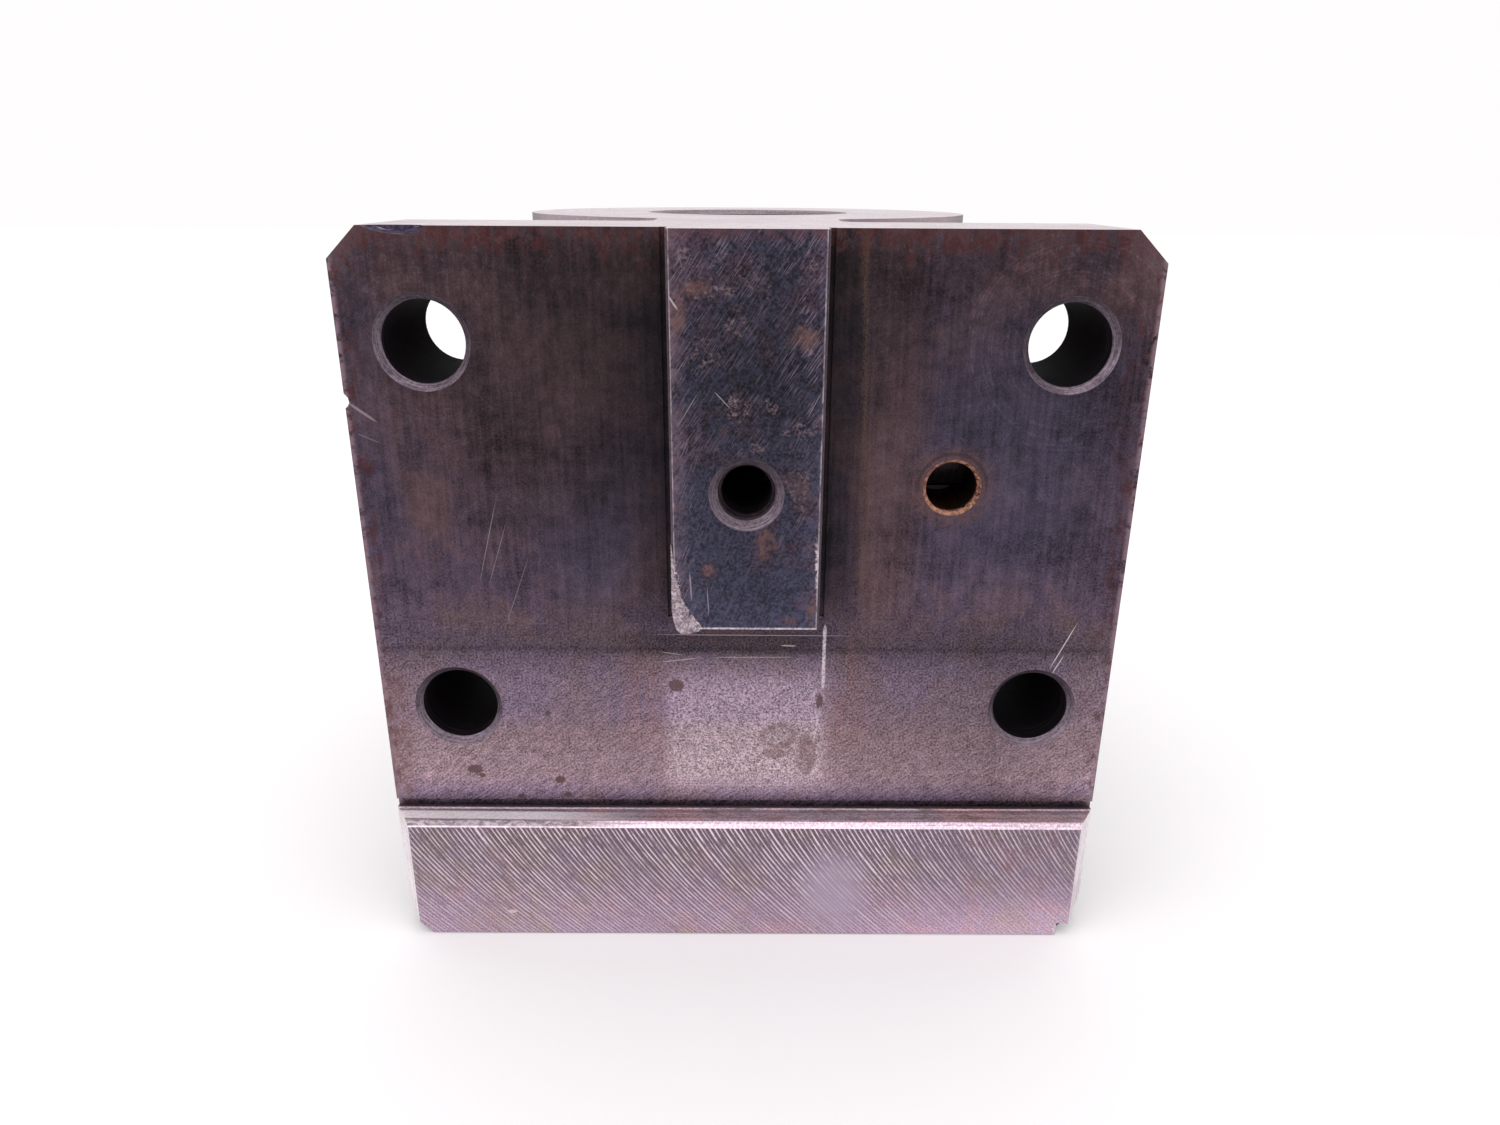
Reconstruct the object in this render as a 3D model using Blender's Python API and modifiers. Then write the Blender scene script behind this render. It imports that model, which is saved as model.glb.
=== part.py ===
"""Boring bar holder block for a lathe turret: one machined block, its clamp screws and its gallery plug.

The block stands on its lip end. Its mounting face looks to -Y, the bar bore runs along Z, and the origin
lies in the mounting face's plane, in the middle of the end it stands on.
"""

import math

import bmesh
import bpy
from mathutils import Matrix, Vector

# Plate that bolts to the turret
PLATE_WIDTH = 0.131
PLATE_THICKNESS = 0.026
BLOCK_HEIGHT = 0.129
TOP_CORNER_CHAMFER = 0.005
BOTTOM_CORNER_CHAMFER = 0.0024

# Lip that hooks over the turret's front edge
LIP_HEIGHT = 0.0246
LIP_DEPTH = 0.0053
LIP_END_TAPER = 0.0034
LIP_EDGE_CHAMFER = 0.0009
UNDERCUT_HEIGHT = 0.0018
UNDERCUT_DEPTH = 0.0009

# Raised key and the grinding reliefs beside it
KEY_WIDTH = 0.025
KEY_LENGTH = 0.0653
KEY_DEPTH = 0.005
KEY_EDGE_CHAMFER = 0.0004
RELIEF_WIDTH = 0.0012
RELIEF_DEPTH = 0.0008

# Mounting holes
BOLT_PITCH_X = 0.104
BOLT_PITCH_Z = 0.0652
BOLT_TOP_INSET = 0.0178
BOLT_HOLE_DIAMETER = 0.0135
BOLT_HOLE_CHAMFER = 0.0011
SPOT_FACE_DIAMETER = 0.021
SPOT_FACE_DEPTH = 0.0005

# Round head with the bar bore, and the neck that carries it
HEAD_DIAMETER = 0.099
NECK_GAP = 0.0125
BAR_BORE_DIAMETER = 0.04445
BAR_BORE_CHAMFER = 0.001
NECK_WIDTH = 0.034
NECK_PLATE_FILLET = 0.004
NECK_HEAD_FILLET = 0.005
CLAMP_LAND_DEPTH = 0.0018

# Clamp screws
SCREW_DIAMETER = 0.012
SCREW_LENGTH = 0.016
SCREW_CHAMFER = 0.0012
SCREW_HEX = 0.006
SCREW_HEX_DEPTH = 0.007
SCREW_CLEARANCE = 0.0003
SCREW_BAR_GAP = 0.002
SCREW_PITCH = 0.036
SCREW_COUNT = 3
SCREW_HOLE_CHAMFER = 0.0008

# Coolant hole in the key, port beside it and the gallery that joins them
KEY_HOLE_DIAMETER = 0.0085
KEY_HOLE_RECESS_DIAMETER = 0.0096
KEY_HOLE_RECESS_DEPTH = 0.0016
KEY_HOLE_CHAMFER = 0.0014
COOLANT_DROP = 0.0236
PORT_OFFSET = 0.0345
PORT_DIAMETER = 0.0086
PORT_CHAMFER = 0.0006
GALLERY_DEPTH = 0.014
GALLERY_DIAMETER = 0.007
PLUG_DIAMETER = 0.012
PLUG_LENGTH = 0.009
PLUG_RECESS = 0.0006
PLUG_CHAMFER = 0.0008
PLUG_HEX = 0.006
PLUG_HEX_DEPTH = 0.0045
PLUG_CLEARANCE = 0.0003

# Knocks that the block has taken
CORNER_DING = (0.0052, 0.0024, 0.0015)
SIDE_NICK = (0.0016, 0.0034, 0.0014)
SIDE_NICK_DROP = 0.0272
CORNER_DING_INSET = 0.0055
KEY_CRUSH = (0.0036, 0.0016, 0.0052)
LIP_CHIP = (0.0026, 0.0017, 0.0017)

# How finely the round forms are divided
ROUND_SEGMENTS = 96
HOLE_SEGMENTS = 48
FILLET_SEGMENTS = 8
CUT_MARGIN = 0.005
TINY_MERGE = 0.00001

PLATE_HALF = PLATE_WIDTH / 2
KEY_BOTTOM = BLOCK_HEIGHT - KEY_LENGTH
BOLT_TOP_Z = BLOCK_HEIGHT - BOLT_TOP_INSET
COOLANT_Z = BOLT_TOP_Z - COOLANT_DROP
HEAD_RADIUS = HEAD_DIAMETER / 2
HEAD_DISTANCE = PLATE_THICKNESS + NECK_GAP + HEAD_RADIUS
HEAD_BACK = HEAD_DISTANCE + HEAD_RADIUS
LAND_Y = HEAD_BACK - CLAMP_LAND_DEPTH
BORE_BACK = HEAD_DISTANCE + BAR_BORE_DIAMETER / 2
SCREW_TIP_Y = BORE_BACK + SCREW_BAR_GAP

# Directions that a turned shape's own axis is laid along
ALONG_Y = Matrix.Rotation(-math.pi / 2, 4, "X")
ALONG_X = Matrix.Rotation(math.pi / 2, 4, "Y")
ALONG_Z = Matrix.Identity(4)


def clear_scene():
    """Removes whatever the file holds."""
    for obj in list(bpy.data.objects):
        bpy.data.objects.remove(obj, do_unlink=True)


def new_collection(name):
    """Returns a collection of this name, linked to the scene."""
    collection = bpy.data.collections.new(name)
    bpy.context.scene.collection.children.link(collection)
    return collection


def steel(name, colour, roughness, metallic):
    """Returns a Principled BSDF material."""
    material = bpy.data.materials.new(name)
    material.use_nodes = True
    shader = material.node_tree.nodes["Principled BSDF"]
    shader.inputs["Base Color"].default_value = (*colour, 1.0)
    shader.inputs["Roughness"].default_value = roughness
    shader.inputs["Metallic"].default_value = metallic
    return material


def finished(mesh, angle=35):
    """Shades a mesh smooth, but for edges sharper than the angle in degrees."""
    mesh.shade_smooth()
    mesh.set_sharp_from_angle(angle=math.radians(angle))
    return mesh


def settle(obj):
    """Gives the object its evaluated mesh, welded, in place of its modifiers or its curve."""
    bpy.context.view_layer.update()
    evaluated = obj.evaluated_get(bpy.context.evaluated_depsgraph_get())
    mesh = bpy.data.meshes.new_from_object(evaluated)
    mesh.name = obj.name
    work = bmesh.new()
    work.from_mesh(mesh)
    bmesh.ops.remove_doubles(work, verts=work.verts, dist=TINY_MERGE)
    work.to_mesh(mesh)
    work.free()
    solid = bpy.data.objects.new(obj.name, mesh)
    solid.matrix_world = obj.matrix_world.copy()
    for collection in obj.users_collection:
        collection.objects.link(solid)
    name = obj.name
    bpy.data.objects.remove(obj, do_unlink=True)
    solid.name = name
    return solid


def as_cutter(obj):
    """Keeps a cutter out of renders and shows it as a wire."""
    obj.hide_render = True
    obj.display_type = "WIRE"
    return obj


def extruded(name, outline, height, collection, place):
    """Makes a solid from a closed flat outline, raised by the height from its own z = 0."""
    curve = bpy.data.curves.new(name, "CURVE")
    curve.dimensions = "2D"
    curve.fill_mode = "BOTH"
    curve.extrude = height / 2
    spline = curve.splines.new("POLY")
    spline.points.add(len(outline) - 1)
    for point, (x, y) in zip(spline.points, outline):
        point.co = (x, y, 0.0, 1.0)
    spline.use_cyclic_u = True
    obj = bpy.data.objects.new(name, curve)
    collection.objects.link(obj)
    obj.matrix_world = place @ Matrix.Translation((0.0, 0.0, height / 2))
    return settle(obj)


def turned(name, profile, segments, collection, place):
    """Makes a solid of revolution from a profile of (radius, height) points that runs top to bottom."""
    mesh = bpy.data.meshes.new(name)
    points = [(radius, 0.0, height) for radius, height in profile]
    edges = [(i, i + 1) for i in range(len(points) - 1)]
    mesh.from_pydata(points, edges, [])
    obj = bpy.data.objects.new(name, mesh)
    collection.objects.link(obj)
    obj.matrix_world = place
    screw = obj.modifiers.new("Turn", "SCREW")
    screw.steps = segments
    screw.render_steps = segments
    screw.use_merge_vertices = True
    screw.merge_threshold = TINY_MERGE
    return settle(obj)


def block(name, low, high, collection):
    """Makes a box between two corners."""
    mesh = bpy.data.meshes.new(name)
    work = bmesh.new()
    bmesh.ops.create_cube(work, size=1.0)
    size = Vector(high) - Vector(low)
    bmesh.ops.scale(work, verts=work.verts, vec=size)
    work.to_mesh(mesh)
    work.free()
    obj = bpy.data.objects.new(name, mesh)
    collection.objects.link(obj)
    obj.location = (Vector(high) + Vector(low)) / 2
    return obj


def edge_cutter(name, corner, outward, along, chamfer, length, collection):
    """Makes a bar that takes a chamfer off a straight edge through the corner.

    Outward points away from the metal, and along is the edge's own direction.
    """
    size = chamfer * 4
    mesh = bpy.data.meshes.new(name)
    work = bmesh.new()
    bmesh.ops.create_cube(work, size=1.0)
    bmesh.ops.scale(work, verts=work.verts, vec=(size, length, size))
    work.to_mesh(mesh)
    work.free()
    obj = bpy.data.objects.new(name, mesh)
    collection.objects.link(obj)
    facing = Vector(outward).normalized()
    run = Vector(along)
    turn = Matrix((facing, run, run.cross(facing))).transposed().to_4x4()
    centre = Vector(corner) + facing * (size / 2 - chamfer / math.sqrt(2))
    obj.matrix_world = Matrix.Translation(centre) @ turn
    return as_cutter(obj)


def scoop(name, centre, radii, collection, tilt=0.0):
    """Makes a rounded cutter for a knock, turned about Y by the tilt in degrees."""
    mesh = bpy.data.meshes.new(name)
    work = bmesh.new()
    bmesh.ops.create_icosphere(work, subdivisions=2, radius=1.0)
    bmesh.ops.scale(work, verts=work.verts, vec=radii)
    bmesh.ops.rotate(work, verts=work.verts, matrix=Matrix.Rotation(math.radians(tilt), 3, "Y"))
    work.to_mesh(mesh)
    work.free()
    obj = bpy.data.objects.new(name, mesh)
    collection.objects.link(obj)
    obj.location = centre
    return as_cutter(obj)


def cut(obj, cutter):
    """Takes the cutter's shape out of the object."""
    boolean = obj.modifiers.new(cutter.name, "BOOLEAN")
    boolean.operation = "DIFFERENCE"
    boolean.solver = "EXACT"
    boolean.object = cutter


def at(x, y, z, turn=ALONG_Z):
    """Returns the place of a shape whose own origin is moved to the point."""
    return Matrix.Translation((x, y, z)) @ turn


def arc(centre, radius, start, end, steps):
    """Returns points along an arc, with angles in radians."""
    points = []
    for i in range(steps + 1):
        angle = start + (end - start) * i / steps
        points.append((centre[0] + radius * math.cos(angle), centre[1] + radius * math.sin(angle)))
    return points


def plan_outline():
    """Returns the block's outline seen along the bar bore: lip, plate, neck and round head."""
    neck = NECK_WIDTH / 2
    plate_fillet = (neck + NECK_PLATE_FILLET, PLATE_THICKNESS + NECK_PLATE_FILLET)
    reach = HEAD_RADIUS + NECK_HEAD_FILLET
    across = neck + NECK_HEAD_FILLET
    head_fillet = (across, HEAD_DISTANCE - math.sqrt(reach**2 - across**2))
    meeting = math.atan2(head_fillet[1] - HEAD_DISTANCE, head_fillet[0])
    half = [(PLATE_HALF - LIP_END_TAPER, -LIP_DEPTH), (PLATE_HALF, 0.0), (PLATE_HALF, PLATE_THICKNESS)]
    half += arc(plate_fillet, NECK_PLATE_FILLET, -math.pi / 2, -math.pi, FILLET_SEGMENTS)
    half += arc(head_fillet, NECK_HEAD_FILLET, math.pi, meeting + math.pi, FILLET_SEGMENTS)
    half += arc((0.0, HEAD_DISTANCE), HEAD_RADIUS, meeting, math.pi / 2, ROUND_SEGMENTS // 2)[1:-1]
    mirrored = [(-x, y) for x, y in reversed(half)]
    return half + [(0.0, HEAD_BACK)] + mirrored


def face_outline():
    """Returns what is milled off above the lip, seen from the front: all but the key."""
    side = PLATE_HALF + CUT_MARGIN
    top = BLOCK_HEIGHT + CUT_MARGIN
    key = KEY_WIDTH / 2
    right = [(side, LIP_HEIGHT), (side, top), (key, top), (key, KEY_BOTTOM)]
    left = [(-x, z) for x, z in reversed(right)]
    return right + left


def milled_cutters(cutters):
    """Yields the cutters that shape the mounting face, its key and its lip."""
    front = Matrix.Rotation(math.pi / 2, 4, "X")
    depth = LIP_DEPTH + CUT_MARGIN
    yield extruded("cut_face", face_outline(), depth, cutters, front)
    key = KEY_WIDTH / 2
    side = PLATE_HALF + CUT_MARGIN
    yield block("cut_key_face", (-key - CUT_MARGIN, -depth, KEY_BOTTOM - CUT_MARGIN),
                (key + CUT_MARGIN, -KEY_DEPTH, BLOCK_HEIGHT + CUT_MARGIN), cutters)
    yield block("cut_undercut", (-side, -LIP_DEPTH / 2, LIP_HEIGHT),
                (side, UNDERCUT_DEPTH, LIP_HEIGHT + UNDERCUT_HEIGHT), cutters)
    for name, low, high in (("left", -key - RELIEF_WIDTH, -key), ("right", key, key + RELIEF_WIDTH)):
        yield block(f"cut_relief_{name}", (low, -KEY_DEPTH / 2, KEY_BOTTOM),
                    (high, RELIEF_DEPTH, BLOCK_HEIGHT + CUT_MARGIN), cutters)
    yield edge_cutter("cut_lip_edge", (0.0, -LIP_DEPTH, LIP_HEIGHT), (0, -1, 1), (1, 0, 0),
                      LIP_EDGE_CHAMFER, side * 2, cutters)
    middle = PLATE_THICKNESS / 2
    for name, sign in (("left", -1), ("right", 1)):
        yield edge_cutter(f"cut_key_edge_{name}", (sign * key, -KEY_DEPTH, BLOCK_HEIGHT), (sign, -1, 0),
                          (0, 0, 1), KEY_EDGE_CHAMFER, KEY_LENGTH * 3, cutters)
        yield edge_cutter(f"cut_top_corner_{name}", (sign * PLATE_HALF, middle, BLOCK_HEIGHT), (sign, 0, 1),
                          (0, 1, 0), TOP_CORNER_CHAMFER, PLATE_THICKNESS * 2, cutters)
        yield edge_cutter(f"cut_bottom_corner_{name}", (sign * PLATE_HALF, middle, 0.0), (sign, 0, -1),
                          (0, 1, 0), BOTTOM_CORNER_CHAMFER, (PLATE_THICKNESS + LIP_DEPTH) * 2, cutters)


def bolt_places():
    """Returns each mounting hole's name and its x and z."""
    places = []
    for row, z in (("top", BOLT_TOP_Z), ("bottom", BOLT_TOP_Z - BOLT_PITCH_Z)):
        for side, sign in (("left", -1), ("right", 1)):
            places.append((f"{row}_{side}", sign * BOLT_PITCH_X / 2, z))
    return places


def screw_heights():
    """Returns the heights of the clamp screws, spread evenly about the block's middle."""
    first = BLOCK_HEIGHT / 2 - SCREW_PITCH * (SCREW_COUNT - 1) / 2
    return [first + SCREW_PITCH * i for i in range(SCREW_COUNT)]


def drilled_cutters(cutters):
    """Yields the cutters of the bores and holes."""
    bore = BAR_BORE_DIAMETER / 2
    mouth = bore + BAR_BORE_CHAMFER + CUT_MARGIN
    top = BLOCK_HEIGHT + CUT_MARGIN
    profile = [(0.0, top), (mouth, top), (bore, BLOCK_HEIGHT - BAR_BORE_CHAMFER), (bore, BAR_BORE_CHAMFER),
               (mouth, -CUT_MARGIN), (0.0, -CUT_MARGIN)]
    yield turned("cut_bar_bore", profile, ROUND_SEGMENTS, cutters, at(0.0, HEAD_DISTANCE, 0.0))
    hole = BOLT_HOLE_DIAMETER / 2
    mouth = hole + BOLT_HOLE_CHAMFER + CUT_MARGIN
    seat = PLATE_THICKNESS - SPOT_FACE_DEPTH
    spot = SPOT_FACE_DIAMETER / 2
    profile = [(0.0, HEAD_BACK), (spot, HEAD_BACK), (spot, seat), (hole, seat),
               (hole, BOLT_HOLE_CHAMFER), (mouth, -CUT_MARGIN), (0.0, -CUT_MARGIN)]
    for name, x, z in bolt_places():
        yield turned(f"cut_bolt_hole_{name}", profile, HOLE_SEGMENTS, cutters, at(x, 0.0, z, ALONG_Y))
    hole = KEY_HOLE_DIAMETER / 2
    recess = KEY_HOLE_RECESS_DIAMETER / 2
    mouth = recess + KEY_HOLE_CHAMFER + CUT_MARGIN
    step = KEY_HOLE_CHAMFER + KEY_HOLE_RECESS_DEPTH
    profile = [(0.0, HEAD_DISTANCE), (hole, HEAD_DISTANCE), (hole, step), (recess, step),
               (recess, KEY_HOLE_CHAMFER), (mouth, -CUT_MARGIN), (0.0, -CUT_MARGIN)]
    yield turned("cut_key_hole", profile, HOLE_SEGMENTS, cutters, at(0.0, -KEY_DEPTH, COOLANT_Z, ALONG_Y))
    port = PORT_DIAMETER / 2
    mouth = port + PORT_CHAMFER + CUT_MARGIN
    profile = [(0.0, GALLERY_DEPTH), (port, GALLERY_DEPTH), (port, PORT_CHAMFER),
               (mouth, -CUT_MARGIN), (0.0, -CUT_MARGIN)]
    yield turned("cut_port", profile, HOLE_SEGMENTS, cutters, at(PORT_OFFSET, 0.0, COOLANT_Z, ALONG_Y))
    gallery = GALLERY_DIAMETER / 2
    seat = PLUG_DIAMETER / 2 + PLUG_CLEARANCE
    floor = PLATE_HALF - PLUG_RECESS - PLUG_LENGTH - PLUG_CLEARANCE
    side = PLATE_HALF + CUT_MARGIN
    profile = [(0.0, side), (seat, side), (seat, floor), (gallery, floor), (gallery, 0.0), (0.0, 0.0)]
    place = at(0.0, GALLERY_DEPTH, COOLANT_Z, ALONG_X)
    yield turned("cut_gallery", profile, HOLE_SEGMENTS // 2, cutters, place)
    yield block("cut_clamp_land", (-HEAD_RADIUS, LAND_Y, -CUT_MARGIN),
                (HEAD_RADIUS, HEAD_BACK + CUT_MARGIN, BLOCK_HEIGHT + CUT_MARGIN), cutters)
    hole = SCREW_DIAMETER / 2 + SCREW_CLEARANCE
    mouth = hole + SCREW_HOLE_CHAMFER + CUT_MARGIN
    top = LAND_Y - HEAD_DISTANCE
    profile = [(0.0, top + CUT_MARGIN), (mouth, top + CUT_MARGIN), (hole, top - SCREW_HOLE_CHAMFER),
               (hole, 0.0), (0.0, 0.0)]
    for i, z in enumerate(screw_heights(), start=1):
        place = at(0.0, HEAD_DISTANCE, z, ALONG_Y)
        yield turned(f"cut_screw_hole_{i}", profile, HOLE_SEGMENTS // 2, cutters, place)


def knock_cutters(cutters):
    """Yields the cutters of the dents and chips in the edges."""
    ding = (-PLATE_HALF + TOP_CORNER_CHAMFER + CORNER_DING_INSET, 0.0, BLOCK_HEIGHT + 0.0002)
    yield scoop("cut_corner_ding", ding, CORNER_DING, cutters, tilt=6.0)
    nick = (-PLATE_HALF - 0.0008, 0.0, BLOCK_HEIGHT - SIDE_NICK_DROP)
    yield scoop("cut_side_nick", nick, SIDE_NICK, cutters, tilt=35.0)
    crush = (-KEY_WIDTH / 2 - 0.0012, -KEY_DEPTH, KEY_BOTTOM + 0.0006)
    yield scoop("cut_key_crush", crush, KEY_CRUSH, cutters, tilt=-18.0)
    chip = (PLATE_HALF - LIP_END_TAPER - 0.0006, -LIP_DEPTH, 0.0008)
    yield scoop("cut_lip_chip", chip, LIP_CHIP, cutters, tilt=30.0)


def holder_body(parts, cutters):
    """Machines the block: plan outline, milled face, bores and holes, then its knocks."""
    body = extruded("holder_body", plan_outline(), BLOCK_HEIGHT, parts, at(0.0, 0.0, 0.0))
    for source in (milled_cutters, drilled_cutters, knock_cutters):
        for cutter in source(cutters):
            cut(body, as_cutter(cutter))
    body = settle(body)
    finished(body.data)
    body.data.materials.append(steel("block_steel", (0.075, 0.06, 0.068), 0.48, 0.85))
    return body


def socket_piece(name, radius, length, chamfer, hex_size, hex_depth, parts, cutters, place):
    """Makes a headless round piece with a hexagon socket in the end at its own +Z."""
    edge = radius - chamfer
    profile = [(0.0, length), (edge, length), (radius, length - chamfer), (radius, chamfer),
               (edge, 0.0), (0.0, 0.0)]
    piece = turned(name, profile, HOLE_SEGMENTS // 2, parts, place)
    corner = hex_size / math.sqrt(3)
    turns = [math.pi * i / 3 for i in range(6)]
    hexagon = [(corner * math.cos(turn), corner * math.sin(turn)) for turn in turns]
    bottom = place @ Matrix.Translation((0.0, 0.0, length - hex_depth))
    socket = extruded(f"cut_{name}_socket", hexagon, hex_depth + CUT_MARGIN, cutters, bottom)
    cut(piece, as_cutter(socket))
    return piece


def clamp_screws(parts, cutters):
    """Makes the set screws that hold the bar, one in each tapped hole of the head's back."""
    black = steel("screw_black", (0.028, 0.027, 0.03), 0.42, 0.9)
    for i, z in enumerate(screw_heights(), start=1):
        place = at(0.0, SCREW_TIP_Y, z, ALONG_Y)
        screw = socket_piece(f"clamp_screw_{i}", SCREW_DIAMETER / 2, SCREW_LENGTH, SCREW_CHAMFER, SCREW_HEX,
                             SCREW_HEX_DEPTH, parts, cutters, place)
        finished(screw.data)
        screw.data.materials.append(black)


def gallery_plug(parts, cutters):
    """Makes the plug that closes the drilled gallery in the plate's side."""
    start = PLATE_HALF - PLUG_RECESS - PLUG_LENGTH
    place = at(start, GALLERY_DEPTH, COOLANT_Z, ALONG_X)
    plug = socket_piece("gallery_plug", PLUG_DIAMETER / 2, PLUG_LENGTH, PLUG_CHAMFER, PLUG_HEX,
                        PLUG_HEX_DEPTH, parts, cutters, place)
    finished(plug.data)
    plug.data.materials.append(steel("plug_steel", (0.2, 0.19, 0.18), 0.4, 0.95))


def main():
    clear_scene()
    parts = new_collection("boring_bar_holder_block")
    cutters = new_collection("cutters")
    holder_body(parts, cutters)
    clamp_screws(parts, cutters)
    gallery_plug(parts, cutters)


main()
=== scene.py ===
"""Looks of the boring bar holder block: camera, light, and the steel's patina, scratches, rust and wear."""
import math
from functools import reduce
import bmesh
import bpy
from mathutils import Matrix, Vector, noise

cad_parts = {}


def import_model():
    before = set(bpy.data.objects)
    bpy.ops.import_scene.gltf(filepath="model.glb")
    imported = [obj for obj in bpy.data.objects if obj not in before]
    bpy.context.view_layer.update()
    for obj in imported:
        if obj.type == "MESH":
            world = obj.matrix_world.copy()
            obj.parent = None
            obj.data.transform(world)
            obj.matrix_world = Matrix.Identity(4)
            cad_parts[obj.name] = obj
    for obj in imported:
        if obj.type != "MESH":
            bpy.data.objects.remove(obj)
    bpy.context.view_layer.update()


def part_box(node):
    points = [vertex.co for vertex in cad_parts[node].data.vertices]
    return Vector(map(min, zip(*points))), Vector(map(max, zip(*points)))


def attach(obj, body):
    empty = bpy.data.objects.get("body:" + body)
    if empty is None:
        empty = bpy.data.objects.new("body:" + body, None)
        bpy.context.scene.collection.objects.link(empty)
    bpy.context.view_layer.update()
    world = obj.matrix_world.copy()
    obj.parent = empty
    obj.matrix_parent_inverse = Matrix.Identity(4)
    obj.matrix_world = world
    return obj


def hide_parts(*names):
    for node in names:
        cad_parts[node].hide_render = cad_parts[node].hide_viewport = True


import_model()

MM = 0.001
MATERIALS = {}

# Places of the block's features, in millimetres

HOLE_X = 52.0
HOLE_ROWS = (46.0, 111.2)
PORT_X = 34.5
COOLANT_Z = 87.6
BORE_Y = 88.0
KEY_BOTTOM = 64.0

# Hues, for a brightness of one

LAVENDER = (1.50, 1.0, 1.56)
BROWN = (1.70, 1.0, 1.16)
BLUE = (1.22, 1.0, 1.72)
LOW_LAVENDER = (1.40, 1.0, 1.42)
LOW_TAN = (1.44, 1.0, 1.13)
ORANGE_BROWN = (1.72, 1.0, 1.10)
PATCH_LAVENDER = (1.34, 1.0, 1.28)
PATCH_TAN = (1.30, 1.0, 1.11)

# Colours

BARE = (0.66, 0.57, 0.62)
# A near-black for painted shade inside the coolant port
SHADE_BLACK = (0.006, 0.004, 0.004)

# What the shine of the patina adds, taken off its colour
GLOSS = 0.010
DARKEST = 0.003


# Node arithmetic

class Field:
    """A number or colour in a material's node tree, which arithmetic extends."""

    def __init__(self, tree, socket):
        self.tree = tree
        self.socket = socket

    def math(self, operation, *others):
        node = self.tree.nodes.new("ShaderNodeMath")
        node.operation = operation
        for slot, value in zip(node.inputs, (self, *others)):
            put(self.tree, slot, value)
        return Field(self.tree, node.outputs[0])

    def __add__(self, other):
        return self.math("ADD", other)

    __radd__ = __add__

    def __sub__(self, other):
        return self.math("SUBTRACT", other)

    def __rsub__(self, other):
        return (self * -1.0) + other

    def __mul__(self, other):
        return self.math("MULTIPLY", other)

    __rmul__ = __mul__

    def __truediv__(self, other):
        return self.math("DIVIDE", other)

    def __pow__(self, other):
        return self.math("POWER", other)

    def abs(self):
        return self.math("ABSOLUTE")

    def sin(self):
        return self.math("SINE")

    def max(self, other):
        return self.math("MAXIMUM", other)

    def curve(self, *stops):
        """Returns the value that stops of (place, value) give along this field."""
        low, high = stops[0][0], stops[-1][0]
        top = max(value for _, value in stops)
        ramp = self.tree.nodes.new("ShaderNodeValToRGB")
        elements = ramp.color_ramp.elements
        while len(elements) < len(stops):
            elements.new(1.0)
        for element, (place, value) in zip(elements, stops):
            element.position = (place - low) / (high - low)
            element.color = (value / top, value / top, value / top, 1.0)
        put(self.tree, ramp.inputs[0], (self - low) / (high - low))
        return Field(self.tree, ramp.outputs[0]) * top

    def step(self, low, high):
        """Rises smoothly from 0 at low to 1 at high, or falls where low is the larger."""
        node = self.tree.nodes.new("ShaderNodeMapRange")
        node.interpolation_type = "SMOOTHSTEP"
        put(self.tree, node.inputs[0], self)
        flip = low > high
        limits = (min(low, high), max(low, high), float(flip), float(not flip))
        for slot, value in zip(node.inputs[1:5], limits):
            slot.default_value = value
        return Field(self.tree, node.outputs[0])


def put(tree, slot, value):
    """Links a field to the slot, or writes the plain value there."""
    if isinstance(value, Field):
        tree.links.new(value.socket, slot)
    elif isinstance(value, tuple):
        slot.default_value = (*value, 1.0) if len(slot.default_value) == 4 and len(value) == 3 else value
    else:
        slot.default_value = value


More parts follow.
